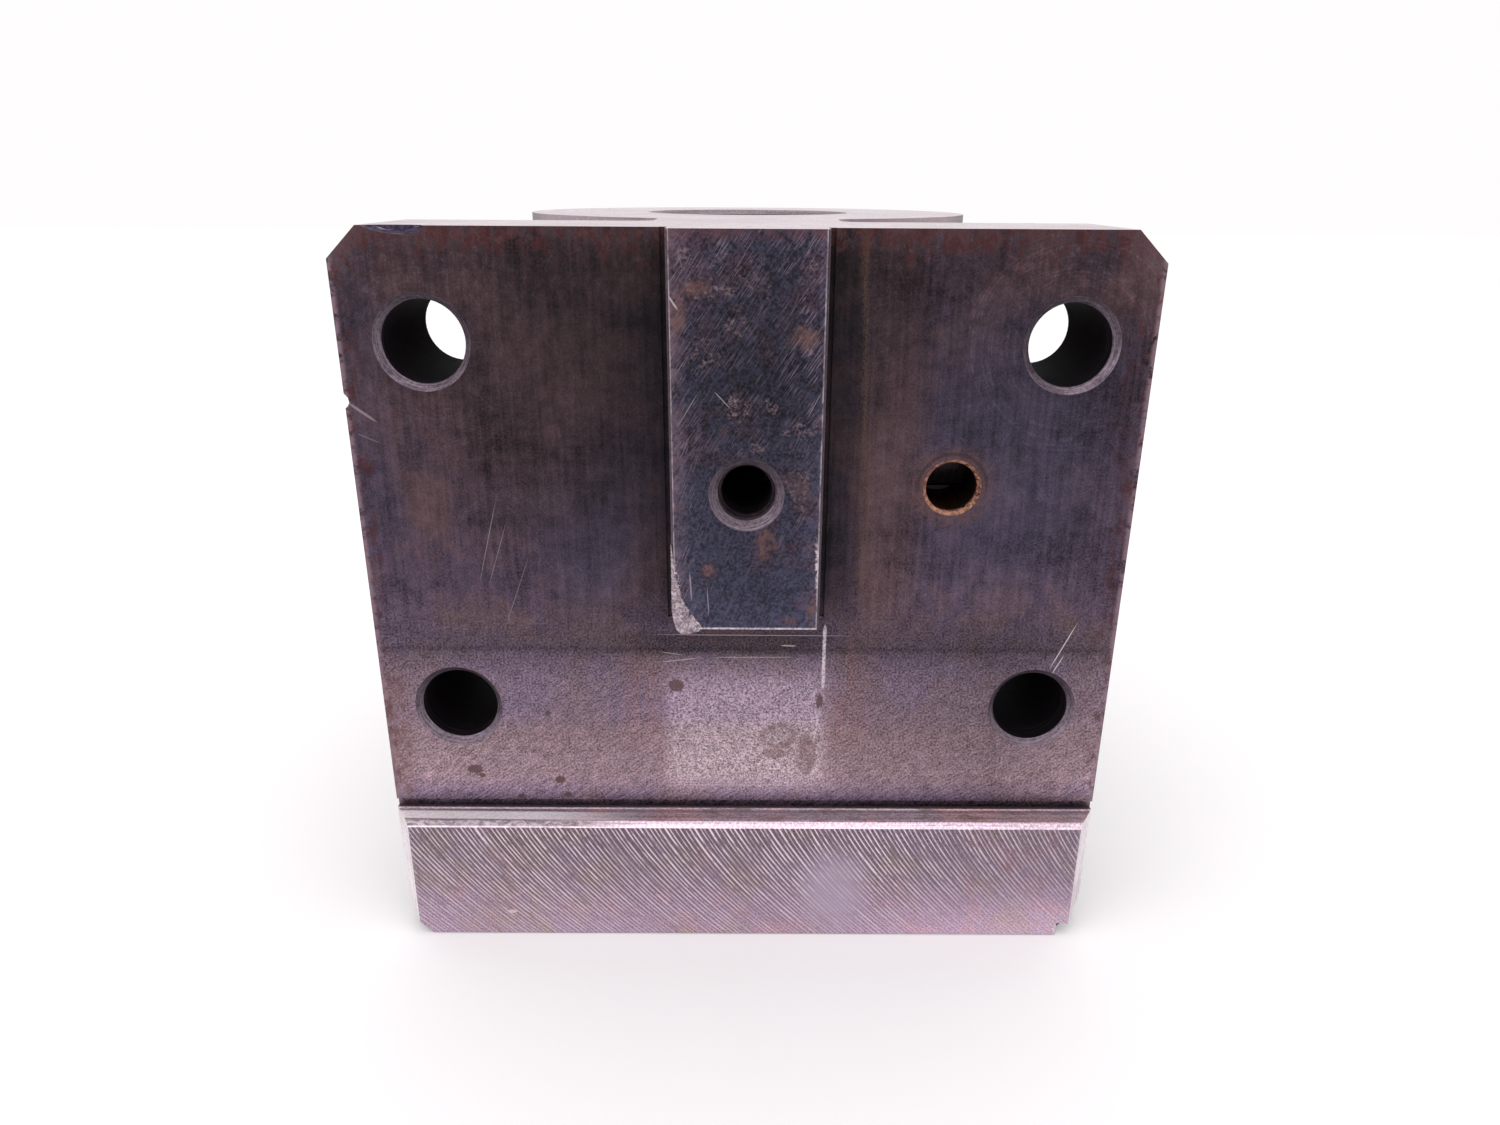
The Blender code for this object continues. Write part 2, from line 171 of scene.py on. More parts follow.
class Steel:
    """Builds one material; coordinates are the object's own, in millimetres."""

    def __init__(self, name):
        self.material = bpy.data.materials.new(name)
        self.material.use_nodes = True
        self.tree = self.material.node_tree
        self.shader = self.tree.nodes["Principled BSDF"]
        place = self.tree.nodes.new("ShaderNodeTexCoord")
        scaled = self.tree.nodes.new("ShaderNodeVectorMath")
        scaled.operation = "SCALE"
        scaled.inputs["Scale"].default_value = 1 / MM
        self.tree.links.new(place.outputs["Object"], scaled.inputs[0])
        parts = self.tree.nodes.new("ShaderNodeSeparateXYZ")
        self.tree.links.new(scaled.outputs[0], parts.inputs[0])
        self.place = Field(self.tree, scaled.outputs[0])
        self.x, self.y, self.z = (Field(self.tree, out) for out in parts.outputs)
        MATERIALS[name] = self.material

    def vector(self, x, y, z):
        node = self.tree.nodes.new("ShaderNodeCombineXYZ")
        for slot, value in zip(node.inputs, (x, y, z)):
            put(self.tree, slot, value)
        return Field(self.tree, node.outputs[0])

    def stretch(self, sx, sy, sz, turn=(0.0, 0.0, 0.0), offset=(0.0, 0.0, 0.0)):
        """Returns coordinates turned by degrees, moved and scaled."""
        node = self.tree.nodes.new("ShaderNodeMapping")
        node.vector_type = "POINT"
        put(self.tree, node.inputs["Vector"], self.place)
        node.inputs["Scale"].default_value = (1.0, 1.0, 1.0)
        node.inputs["Rotation"].default_value = [math.radians(a) for a in turn]
        node.inputs["Location"].default_value = offset
        scaled = self.tree.nodes.new("ShaderNodeVectorMath")
        scaled.operation = "MULTIPLY"
        self.tree.links.new(node.outputs[0], scaled.inputs[0])
        scaled.inputs[1].default_value = (sx, sy, sz)
        return Field(self.tree, scaled.outputs[0])

    def shifted(self, x, y, z):
        """Returns coordinates moved only, so that two noises of one scale differ."""
        return self.stretch(1.0, 1.0, 1.0, offset=(x, y, z))

    def noise(self, scale=1.0, detail=3.0, roughness=0.55, distortion=0.0, at=None):
        """Returns noise from 0 to 1; scale is in cycles per millimetre of the coordinates."""
        node = self.tree.nodes.new("ShaderNodeTexNoise")
        put(self.tree, node.inputs["Vector"], at or self.place)
        node.inputs["Scale"].default_value = scale
        node.inputs["Detail"].default_value = detail
        node.inputs["Roughness"].default_value = roughness
        node.inputs["Distortion"].default_value = distortion
        return Field(self.tree, node.outputs["Fac"])

    def grain(self, scale, softness):
        """Returns fine even noise from 0 to 1; the smaller the softness, the higher its contrast."""
        return self.noise(scale, 2.0, 0.6).step(0.5 - softness, 0.5 + softness)

    def mix(self, low, high, factor):
        """Mixes two colours by the factor."""
        node = self.tree.nodes.new("ShaderNodeMix")
        node.data_type = "RGBA"
        node.clamp_factor = True
        put(self.tree, node.inputs[0], factor)
        put(self.tree, node.inputs[6], low)
        put(self.tree, node.inputs[7], high)
        return Field(self.tree, node.outputs[2])

    def tint(self, colour, factor):
        """Multiplies a colour by a number."""
        node = self.tree.nodes.new("ShaderNodeMix")
        node.data_type = "RGBA"
        node.blend_type = "MULTIPLY"
        node.clamp_result = False
        node.inputs[0].default_value = 1.0
        put(self.tree, node.inputs[6], colour)
        put(self.tree, node.inputs[7], self.vector(factor, factor, factor))
        return Field(self.tree, node.outputs[2])

    def far(self, x, z):
        """Returns the distance from a point in the X-Z plane."""
        dx, dz = self.x - x, self.z - z
        return (dx * dx + dz * dz) ** 0.5

    def spot(self, x, z, rx, rz, soft=0.5, ragged=0.0):
        """Returns 1 inside an oval in the X-Z plane, falling to 0 over the soft share of its radius."""
        dx = (self.x - x) / rx
        dz = (self.z - z) / rz
        far = (dx * dx + dz * dz) ** 0.5
        if ragged:
            far = far + (self.noise(0.9, 4.0, 0.65) - 0.5) * ragged
        return far.step(1.0 + soft / 2, 1.0 - soft / 2)

    def band(self, value, low, high, soft):
        """Returns 1 where the value lies between low and high."""
        return value.step(low - soft / 2, low + soft / 2) * value.step(high + soft / 2, high - soft / 2)

    def stroke(self, start, end, width, fade=0.3):
        """Returns a straight scratch in the X-Z plane that thins towards its ends."""
        ax, az = start
        bx, bz = end
        length = math.hypot(bx - ax, bz - az)
        ux, uz = (bx - ax) / length, (bz - az) / length
        along = ((self.x - ax) * ux + (self.z - az) * uz) / length
        across = ((self.x - ax) * -uz + (self.z - az) * ux).abs()
        taper = along.step(0.0, fade) * along.step(1.0, 1.0 - fade)
        core = (1.0 - (across / (taper * width + 0.001))).step(0.0, 0.6)
        return core * along.step(-0.01, 0.01) * along.step(1.01, 0.99)

    def scratches(self, rows):
        """Returns all the scratches of rows that give a start, an end, a width and a strength."""
        return reduce(Field.max, (self.stroke(start, end, width) * strength for start, end, width, strength in rows))

    def hairs(self, scale, angle, seed, low=0.60, high=0.68):
        """Returns thin straight strokes at an angle in degrees above +X, as hand wear leaves them."""
        at = self.stretch(0.07, 1.0, scale, turn=(0.0, angle, 0.0), offset=(seed, 0.0, seed * 1.7))
        lines = self.noise(1.0, 1.0, 0.5, at=at)
        broken = self.noise(0.22, 2.0, 0.6, at=self.shifted(seed * 3.0, 0.0, seed)).step(0.42, 0.6)
        return lines.step(low, high) * broken

    def finish(self, colour, roughness, metallic, bump, depth, specular):
        """Wires the shader; bump is a height field and depth its size in millimetres."""
        put(self.tree, self.shader.inputs["Base Color"], colour)
        put(self.tree, self.shader.inputs["Roughness"], roughness)
        put(self.tree, self.shader.inputs["Metallic"], metallic)
        self.shader.inputs["Specular IOR Level"].default_value = specular
        node = self.tree.nodes.new("ShaderNodeBump")
        node.inputs["Strength"].default_value = 1.0
        node.inputs["Distance"].default_value = depth * MM
        put(self.tree, node.inputs["Height"], bump)
        self.tree.links.new(node.outputs["Normal"], self.shader.inputs["Normal"])


# Materials, with every length in millimetres

# Small stains: x, z and the two radii
PLATE_SPOTS = (
    (-50.2, 32.9, 1.4, 0.9), (-49.0, 31.6, 0.6, 0.5), (-34.5, 30.7, 0.9, 0.8), (-33.2, 27.4, 0.7, 0.6),
    (-42.0, 27.0, 0.7, 0.5), (13.4, 47.3, 0.6, 1.6), (-36.0, 44.6, 0.6, 0.5),
)
# Scratches: start, end, width and strength
PLATE_SCRATCHES = (
    ((58.7, 63.6), (54.2, 53.4), 0.13, 0.75), ((56.9, 57.0), (54.8, 52.6), 0.12, 0.8),
    ((-65.6, 101.9), (-60.3, 98.0), 0.30, 0.24), ((-64.5, 96.5), (-60.2, 94.6), 0.14, 0.12),
    ((-19.0, 60.4), (22.0, 60.3), 0.11, 0.34), ((-16.3, 54.9), (-7.2, 56.0), 0.11, 0.42),
    ((-7.2, 56.0), (9.6, 56.1), 0.10, 0.34), ((-15.5, 57.1), (-11.0, 56.4), 0.10, 0.38),
    ((-18.7, 29.6), (15.7, 29.7), 0.11, 0.55), ((6.0, 58.4), (9.2, 58.3), 0.20, 0.42),
    ((-42.0, 86.0), (-46.5, 69.0), 0.09, 0.24), ((-40.5, 82.0), (-45.0, 68.5), 0.08, 0.2),
    ((-37.0, 76.0), (-43.0, 60.0), 0.08, 0.18),
)
# How strongly a cutter's arcs show round each bolt hole: x, z and strength
PLATE_ARCS = (
    (HOLE_X, HOLE_ROWS[1], 1.0), (-HOLE_X, HOLE_ROWS[1], 0.55),
    (HOLE_X, HOLE_ROWS[0], 0.35), (-HOLE_X, HOLE_ROWS[0], 0.45),
)


class PlateFace(Steel):
    """The mounting face: dark patina above, and rubbed brighter steel below the line of the turret's edge."""

    def __init__(self):
        super().__init__("plate_face")
        x, z = self.x, self.z
        self.wobble = (self.noise(0.25, 3.0, 0.6, at=self.stretch(1.0, 1.0, 0.2)) - 0.5) * 1.4
        self.above = z.step(56.0, 70.0)
        self.top = z.step(119.5, 128.5)
        self.side = (x.abs() + (z - 90.0) * 0.02).step(58.5, 65.5)
        ragged = (self.noise(0.8, 3.0, 0.7) - 0.5) * 3.0
        self.patch = self.band(x + ragged * 0.6, -14.2, 14.4, 4.0) * self.band(z + ragged * 1.6, 29.0, 53.0, 9.0)
        self.fine = self.grain(2.7, 0.15)
        self.mottle = self.noise(0.45, 5.0, 0.7).step(0.3, 0.7)
        self.cloud = self.noise(0.06, 4.0, 0.62)
        self.streak = self.noise(1.0, 3.0, 0.6, at=self.stretch(1.1, 1.0, 0.05)).step(0.3, 0.7)
        self.mottled = self.noise(0.55, 6.0, 0.78, at=self.stretch(1.0, 1.0, 0.8, offset=(4.0, 0.0, 9.0)))
        drips = self.noise(0.42, 6.0, 0.80, at=self.stretch(1.0, 1.0, 0.6, offset=(14.0, 0.0, 2.0)))
        drips = (drips + z.step(122.0, 128.8) * 0.10 + self.side * 0.05).step(0.55, 0.60)
        self.rust = drips * (self.top.max(self.side) * 0.85 + 0.04) * (self.fine * 0.6 + 0.5)

    def texture(self):
        """Returns the grain: mottled above, with sloping marks below and worm-like marks in the bright patch."""
        z, fine, mottle = self.z, self.fine, self.mottle
        upper = (fine - 0.5) * z.curve((58, .60), (80, .34), (129, .28)) + mottle * 0.34
        upper = upper + self.streak * 0.30 + (self.cloud - 0.5) * 2.2 + 0.60
        slope = self.noise(1.0, 2.0, 0.6, at=self.stretch(0.35, 1.0, 2.6, turn=(0.0, 35.0, 0.0))).step(0.38, 0.66)
        lower = (fine - 0.5) * 0.74 + mottle * 0.25 + slope * z.curve((25, .9), (37, .55), (58, .15)) * 0.6 + 0.60
        worms = self.noise(1.5, 2.0, 0.6, distortion=1.8).step(0.40, 0.62)
        lower = lower + (worms * 0.70 + fine * 0.70 + 0.25 - lower) * self.patch
        return lower + (upper - lower) * self.above

    def brightness(self):
        """Returns how bright the face is before its stains and scratches, with painted shade in the groove at its
        foot and a painted shadow below the key.
        """
        x, z, wobble = self.x, self.z, self.wobble
        # The lowest stops of tall, from z 24 to about 27, paint the shade in the groove at the lip's root.
        tall = (z + wobble * 0.8).curve(
            (24, .03), (25.3, .045), (26.2, .10), (27.4, .16), (28.5, .205), (31, .245), (35, .225),
            (40, .20), (45, .17), (51, .160), (55, .125), (57.0, .098), (57.5, .062), (58.2, .085),
            (62, .082), (70, .062), (80, .053), (92, .045), (104, .038), (116, .034), (129, .036))
        wide_above = (x + wobble).curve(
            (-66, 1.15), (-50, 1.04), (-38, .92), (-27, .76), (-20, .64), (-14, .48), (14, .48),
            (17.3, .58), (20.5, .98), (30, 1.12), (42, 1.04), (55, 1.1), (66, 1.22))
        wide_below = x.curve(
            (-66, 1.1), (-50, .98), (-20, .98), (-14, 1.05), (14, 1.05), (20, .92), (35, .84),
            (46, .72), (58, .92), (66, 1.0))
        wide = wide_below + (wide_above - wide_below) * self.above
        bright = tall * wide * (self.patch * 0.5 + 1.0) * self.texture()
        # A painted shadow: a band just below the key's end is darkened.
        key_shadow = self.band(x + wobble * 2.0, -20.0, 15.0, 12.0) * self.band(z + wobble * 0.5, 56.6, 60.8, 1.6)
        bright = (bright * (1.0 - key_shadow * 0.35) - GLOSS * 0.9).max(DARKEST)
        contrast = z.curve((66, .4), (112, 1.0), (122, 2.6), (128.6, 6.5))
        return bright * ((self.mottled - 0.5) * contrast + 1.0).max(0.3)

    def hue(self):
        """Returns lavender and brown clouds, bluer and warmer in places."""
        x, z = self.x, self.z
        hue = self.mix(LAVENDER, BROWN, self.cloud.step(0.45, 0.57))
        blue = self.spot(-27.0, 82.0, 9.0, 17.0, 1.0, 0.5).max(self.spot(43.0, 92.0, 17.0, 24.0, 1.0, 0.4))
        blue = blue.max(x.step(-56.0, -61.0) * z.step(60.0, 90.0) * 0.6)
        hue = self.mix(hue, BLUE, blue * 0.8)
        brown = self.spot(-37.0, 108.0, 20.0, 26.0, 0.9, 0.5).max(self.band(x, 19.0, 29.0, 6.0))
        brown = brown.max(z.step(112.0, 124.0) * 0.6)
        hue = self.mix(hue, BROWN, brown * 0.8)
        warm = self.band(z + self.wobble * 2.0, 29.5, 43.0, 5.0)
        low = self.mix(LOW_LAVENDER, LOW_TAN, warm.max(self.cloud.step(0.44, 0.56) * 0.6))
        hue = self.mix(hue, low, (1.0 - self.above) * 0.92)
        beside_key = self.band(x.abs(), 14.8, 22.5, 4.0) * self.band(z, 38.0, 59.0, 9.0) * self.streak
        hue = self.mix(hue, ORANGE_BROWN, beside_key * 0.8)
        return self.mix(hue, self.mix(PATCH_LAVENDER, PATCH_TAN, warm), self.patch * 0.9)

    def stained(self, colour):
        """Lays rust along the edges and round the port, stains and dirt over the colour, and a painted shade on the
        port's upper rim.
        """
        x, z, mottle, fine = self.x, self.z, self.mottle, self.fine
        colour = self.mix(colour, (0.066, 0.016, 0.015), self.rust)
        edges = self.top * 0.5 + self.side * 0.5
        pale = (self.mottled * -1.0 + self.top * 0.22 + self.side * 0.2 + 0.98).step(0.62, 0.78) * edges
        colour = self.mix(colour, (0.15, 0.10, 0.115), pale * 0.5)
        run = x - (127.0 - z) * 0.042
        brown_line = self.band(run, 17.6, 18.8, 0.9) * z.step(60.0, 76.0) * (fine * 0.6 + self.streak * 0.6 - 0.15)
        colour = self.mix(colour, (0.095, 0.056, 0.038), brown_line * 0.6)
        left_dirt = x.step(-59.5, -63.0) * self.band(z, 27.0, 52.0, 4.0) * self.mottled.step(0.38, 0.62)
        colour = self.mix(colour, (0.15, 0.075, 0.07), left_dirt * 0.7)
        largest = self.spot(-12.5, 50.4, 1.4, 1.2, 0.3, 0.7)
        spots = reduce(Field.max, (self.spot(*row, 0.4, 1.0) for row in PLATE_SPOTS), largest)
        colour = self.mix(colour, (0.095, 0.052, 0.052), spots * 0.85)
        ring = self.spot(6.2, 40.0, 3.4, 2.6, 0.3, 0.9).max(self.spot(11.2, 36.2, 1.9, 4.4, 0.3, 1.0))
        ring = ring.max(self.spot(5.4, 36.4, 2.2, 1.0, 0.3, 1.0))
        hollow = self.spot(6.0, 40.2, 2.2, 1.5, 0.6, 0.8)
        colour = self.mix(colour, (0.15, 0.085, 0.085), ring * (1.0 - hollow * 0.8) * (mottle * 0.5 + 0.3))
        port = self.far(PORT_X, COOLANT_Z)
        halo = port.step(8.6, 5.0) * (mottle * 0.5 + fine * 0.4)
        colour = self.mix(colour, (0.135, 0.062, 0.045), halo * 0.75)
        # Painted shade: a dark ring on the upper half of the port's rim.
        shade = self.band(port, 5.5, 6.1, 0.4) * (z - COOLANT_Z).step(-3.0, 1.5)
        return self.mix(colour, (0.03, 0.018, 0.018), shade * 0.6)

    def scratched(self, colour):
        """Lays scratches, a painted highlight along the keyway's right edge, hand wear, cutter arcs and a painted
        highlight along the side edges over the colour.
        """
        grit = self.grain(1.7, 0.1)
        bare = self.scratches(PLATE_SCRATCHES)
        # The two strokes near x = 14, below the key, are a painted highlight on the keyway's right edge, laid in
        # with the bare scratches.
        bare = bare.max(self.stroke((13.95, 62.6), (13.95, 49.6), 0.42, 0.08) * (grit * 0.5 + 0.35))
        bare = bare.max(self.stroke((13.6, 46.6), (12.4, 38.4), 0.36, 0.2) * (grit * 0.6 + 0.1))
        hairs = self.hairs(4.5, 62.0, 3.0).max(self.hairs(4.0, -48.0, 11.0))
        hairs = hairs.max(self.hairs(5.0, 20.0, 21.0)).max(self.hairs(5.0, 88.0, 31.0))
        colour = self.mix(colour, self.tint(colour, 2.0), hairs * 0.28)
        arcs = 0.0
        for centre_x, centre_z, strength in PLATE_ARCS:
            out = self.far(centre_x, centre_z)
            at = self.vector(out * 3.0, (self.x - centre_x) * 0.06 + centre_x, (self.z - centre_z) * 0.06 + centre_z)
            lines = self.noise(1.0, 1.0, 0.6, at=at).step(0.52, 0.62)
            arcs = lines * self.band(out, 8.6, 18.0, 3.0) * strength + arcs
        colour = self.mix(colour, self.tint(colour, 1.9), arcs * (self.mottle * 0.36 + 0.04))
        colour = self.mix(colour, BARE, bare)
        # Painted highlight: a lighter strip along the face's left and right edges.
        rim = self.x.abs().step(64.4, 65.3) * (self.mottle + 0.15).step(0.3, 0.7)
        return self.mix(colour, (0.26, 0.175, 0.21), rim * 0.7)


def plate_material():
    """Patina, rust and scratches of the mounting face."""
    s = PlateFace()
    colour = s.scratched(s.stained(s.tint(s.hue(), s.brightness())))
    rough = s.fine * 0.12 + s.cloud * 0.12 + 0.33 + s.rust * 0.2
    s.finish(colour, rough, 0.6, s.fine * 0.5 + s.mottle * 0.4, 0.04, 0.25)


# Patches where the key's patina is rubbed off, and rust on it: x, z, the two radii and strength
KEY_SCUFFS = (
    (-11.4, 124.6, 1.5, 4.4, 0.6), (-6.9, 119.9, 4.0, 1.3, 0.75), (-1.9, 115.0, 1.8, 1.5, 0.7),
    (-7.5, 110.1, 2.2, 1.9, 0.65), (-1.6, 101.8, 1.9, 1.5, 0.85), (3.1, 102.1, 1.3, 0.9, 0.8),
    (8.6, 98.5, 3.2, 1.1, 0.8), (1.1, 122.6, 2.2, 2.4, 0.5), (-6.0, 125.0, 2.6, 1.6, 0.4),
    (8.4, 88.4, 2.2, 2.4, 0.75), (9.8, 92.3, 1.6, 1.8, 0.5), (9.4, 112.8, 2.6, 2.2, 0.5),
    (3.6, 119.0, 0.5, 1.4, 0.6), (10.5, 126.6, 1.6, 3.4, 0.55), (1.5, 95.4, 2.2, 1.0, 0.5),
)
SCUFF_SPREAD = 1.25
KEY_RUST = (
    (-8.0, 120.3, 2.6, 1.1, 0.6), (-11.0, 116.2, 1.3, 2.8, 0.7), (9.0, 113.0, 2.4, 1.5, 0.6),
    (3.4, 79.2, 1.5, 2.2, 0.75), (11.5, 66.6, 1.1, 2.4, 0.8), (7.3, 65.4, 1.8, 0.8, 0.5),
    (8.8, 88.6, 1.9, 2.6, 0.35), (-3.6, 98.0, 1.2, 0.8, 0.2),
)
# Scratches: start, end, width and strength
KEY_SCRATCHES = (
    ((-12.4, 119.6), (-10.6, 116.9), 0.2, 0.5), ((-9.5, 74.4), (-9.2, 68.6), 0.18, 0.3),
    ((-6.6, 72.0), (-6.3, 65.6), 0.10, 0.3), ((-5.4, 104.8), (-2.4, 101.6), 0.09, 0.4),
    ((-11.2, 98.6), (-7.6, 104.6), 0.09, 0.25), ((9.4, 100.0), (12.0, 105.0), 0.09, 0.25),
)
# A dark dot on the key: x and z
KEY_DOT = (-6.3, 74.5)


def key_material():
    """Blue-grey key face under dense strokes that rise to the right, with rust, scuffs, a crushed corner and painted
    highlights along its side and bottom edges.
    """
    s = Steel("key_face")
    x, z = s.x, s.z
    tall = z.curve((63, .060), (70, .048), (78, .044), (88, .038), (97, .033), (106, .028), (116, .030),
                   (124, .036), (129, .044))
    wide = x.curve((-12.6, 1.35), (-10.5, 1.15), (-6.5, .98), (4, .92), (8.0, .98), (10.5, 1.15), (12.6, 1.5))
    grain = s.grain(2.3, 0.13)
    mottle = s.noise(0.5, 4.0, 0.7, at=s.shifted(8.0, 0.0, 3.0)).step(0.3, 0.7)
    cloud = s.noise(0.12, 3.0, 0.6, at=s.shifted(11.0, 0.0, 5.0))
    bright = (tall * wide * (grain * 0.65 + mottle * 0.35 + 0.48) - GLOSS).max(DARKEST)
    hue = s.mix((1.02, 1.0, 1.72), (1.50, 1.0, 1.56), cloud.step(0.44, 0.60))
    colour = s.tint(hue, bright)

    strokes = s.noise(1.0, 1.0, 0.5, at=s.stretch(0.24, 1.0, 4.8, turn=(0.0, 56.0, 0.0))).step(0.52, 0.64)
    at = s.stretch(0.24, 1.0, 4.6, turn=(0.0, 68.0, 0.0), offset=(5.0, 0.0, 2.0))
    steep = s.noise(1.0, 1.0, 0.5, at=at).step(0.55, 0.66)
    broken = s.noise(0.5, 3.0, 0.7, at=s.shifted(2.0, 0.0, 6.0)).step(0.34, 0.62)
    dense = x.step(-6.5, -11.5).max(x.step(3.0, 11.0) * z.step(90.0, 105.0)).max(z.step(116.0, 127.0) * 0.8)
    lines = (strokes * z.step(86.0, 96.0)).max(steep * z.step(104.0, 92.0)) * broken
    colour = s.mix(colour, (0.20, 0.15, 0.20), lines * (dense * 0.5 + 0.26))

    left = x.step(-9.0, -12.2) * mottle
    colour = s.mix(colour, (0.20, 0.13, 0.16), left * 0.55)
    speck = s.noise(0.9, 6.0, 0.82, at=s.shifted(2.0, 0.0, 31.0)).step(0.51, 0.60)
    for spot_x, spot_z, rx, rz, strength in KEY_SCUFFS:
        scuff = s.spot(spot_x, spot_z, rx * SCUFF_SPREAD, rz * SCUFF_SPREAD, 1.2, 2.4)
        colour = s.mix(colour, (0.27, 0.18, 0.19), scuff * speck * (grain * 0.8 + 0.1) * strength)
    for spot_x, spot_z, rx, rz, strength in KEY_RUST:
        rust = s.spot(spot_x, spot_z, rx, rz, 1.1, 2.4)
        colour = s.mix(colour, (0.17, 0.08, 0.06), rust * (mottle * 0.8 + 0.1) * strength)
    colour = s.mix(colour, (0.10, 0.04, 0.045), z.step(126.6, 128.6) * mottle * 0.85)
    dot = s.spot(*KEY_DOT, 1.0, 1.05, 0.5, 1.1)
    colour = s.mix(colour, (0.17, 0.085, 0.09), dot * (grain * 0.6 + 0.3))
    colour = s.mix(colour, (0.05, 0.03, 0.035), s.spot(*KEY_DOT, 1.5, 1.6, 0.2, 0.4) * (1.0 - dot) * 0.5)

    bare = s.scratches(KEY_SCRATCHES)
    # The thin lines along the key's left and right edges are a painted highlight, laid in with the bare scratches.
    bare = bare.max((x + 12.2).abs().step(0.35, 0.1) * (broken * 0.5 + 0.1))
    bare = bare.max((x - 12.1).abs().step(0.3, 0.1) * (broken * 0.4 + 0.05))
    ragged = (grain - 0.5) * 0.7
    smear = (x + (z - 69.0) * 0.055 + ragged * 0.5 - 11.9).step(0.0, 0.35) * s.band(z, 65.0, 79.0, 4.0)
    bare = bare.max(smear * (grain * 0.35 + 0.45))
    colour = s.mix(colour, BARE, bare)

    slant = x * -1.0 - 6.9 - (z - 63.7) * 0.95 + ragged * 1.6
    tail = (x * -1.0 - 10.6 - (z - 68.0) * 0.17 + ragged).step(0.0, 0.5) * z.step(78.5, 74.0)
    crushed = (slant.step(0.0, 0.9) * z.step(72.5, 68.0)).max(tail)
    shell = s.noise(0.9, 3.0, 0.6, distortion=1.4).step(0.36, 0.6)
    colour = s.mix(colour, s.mix((0.20, 0.14, 0.16), (0.66, 0.55, 0.60), shell * 0.7 + grain * 0.3), crushed)
    # A painted highlight along the key's bottom edge.
    foot_highlight = z.step(KEY_BOTTOM + 0.15, KEY_BOTTOM - 0.15) * x.step(-8.6, -7.6)
    colour = s.mix(colour, (0.72, 0.62, 0.67), foot_highlight * (grain * 0.5 + 0.4))
    height = grain * 0.5 + lines * -0.6 + speck * 0.25 + bare * -0.8 + crushed * shell * 3.0 + dot * 1.5
    s.finish(colour, grain * 0.14 + 0.32, 0.6, height, 0.04, 0.25)


# The lip's cutter arcs: their spacing, where they start, and how they lean and then bend as they fall
ARC_PITCH = 0.92
ARC_TOP = 22.5
ARC_LEAN = 0.55
ARC_BEND = 0.012


def lip_material():
    """Ground lip under evenly spaced cutter arcs that fall to the right and flatten as they fall, with a painted
    highlight.
    """
    s = Steel("lip_face")
    x, z = s.x, s.z
    drop = ARC_TOP - z
    run = x - drop * ARC_LEAN - drop * drop * ARC_BEND
    grain = s.grain(3.0, 0.16)
    cloud = s.noise(0.09, 3.0, 0.6, at=s.shifted(21.0, 0.0, 8.0))
    drift = s.noise(1.0, 2.0, 0.6, at=s.vector(run * 0.55, drop * 0.03, 3.0))
    wave = ((run + drift * 1.2) * (2.0 * math.pi / ARC_PITCH)).sin() * 0.5 + 0.5
    amount = s.noise(1.0, 3.0, 0.65, at=s.vector(run * 0.30, drop * 0.08, 8.0)).step(0.28, 0.52)
    short = s.noise(1.0, 3.0, 0.7, at=s.vector(run * 1.1, drop * 0.35, 15.0)).step(0.34, 0.54)
    strong = z.curve((0, .62), (6, .78), (14, .95), (22, 1.0))
    strong = strong * x.curve((-62, .7), (-40, 1.0), (25, 1.0), (45, .62), (62, .5))
    lines = wave.step(0.72, 0.96) * (amount * short + 0.12) * strong
    dark = wave.step(0.5, 0.1) * (amount * 0.6 + 0.4) * strong

    bright = z.curve((0, .32), (4, .285), (12, .195), (20, .155), (24, .15))
    bright = bright * (x.step(0.0, 60.0) * z.step(14.0, 0.0) * 0.42 + 1.0)
    bright = bright * (grain * 0.56 + 0.66) * (1.0 - dark * 0.26)
    hue = s.mix((1.40, 1.0, 1.34), (1.38, 1.0, 1.08), cloud.step(0.46, 0.62))
    pink = s.noise(0.13, 2.0, 0.6, at=s.shifted(1.0, 0.0, 44.0)).step(0.54, 0.68)
    hue = s.mix(hue, (1.62, 1.0, 1.22), pink * 0.7)
    colour = s.mix(s.tint(hue, bright), (0.80, 0.68, 0.75), lines)
    # A painted highlight: a pale oval low on the lip, right of the middle.
    lip_highlight = s.spot(16.8, 9.8, 5.6, 7.6, 1.2, 0.1)
    colour = s.mix(colour, (0.45, 0.36, 0.47), lip_highlight * 0.72)
    specks = s.noise(1.8, 3.0, 0.8, at=s.shifted(6.0, 0.0, 6.0)).step(0.62, 0.72) * z.step(4.0, 16.0)
    colour = s.mix(colour, (0.70, 0.60, 0.66), specks * 0.5)
    colour = s.mix(colour, (0.66, 0.56, 0.58), s.spot(-44.2, 4.9, 0.9, 0.35, 0.4, 0.8) * 0.9)
    rim = x.abs().step(61.4, 62.1)
    colour = s.mix(colour, (0.50, 0.40, 0.44), rim * grain * 0.5)
    height = lines * -0.8 + wave * amount * 0.3 + grain * 0.3
    s.finish(colour, grain * 0.1 + 0.32, 0.65, height, 0.03, 0.4)


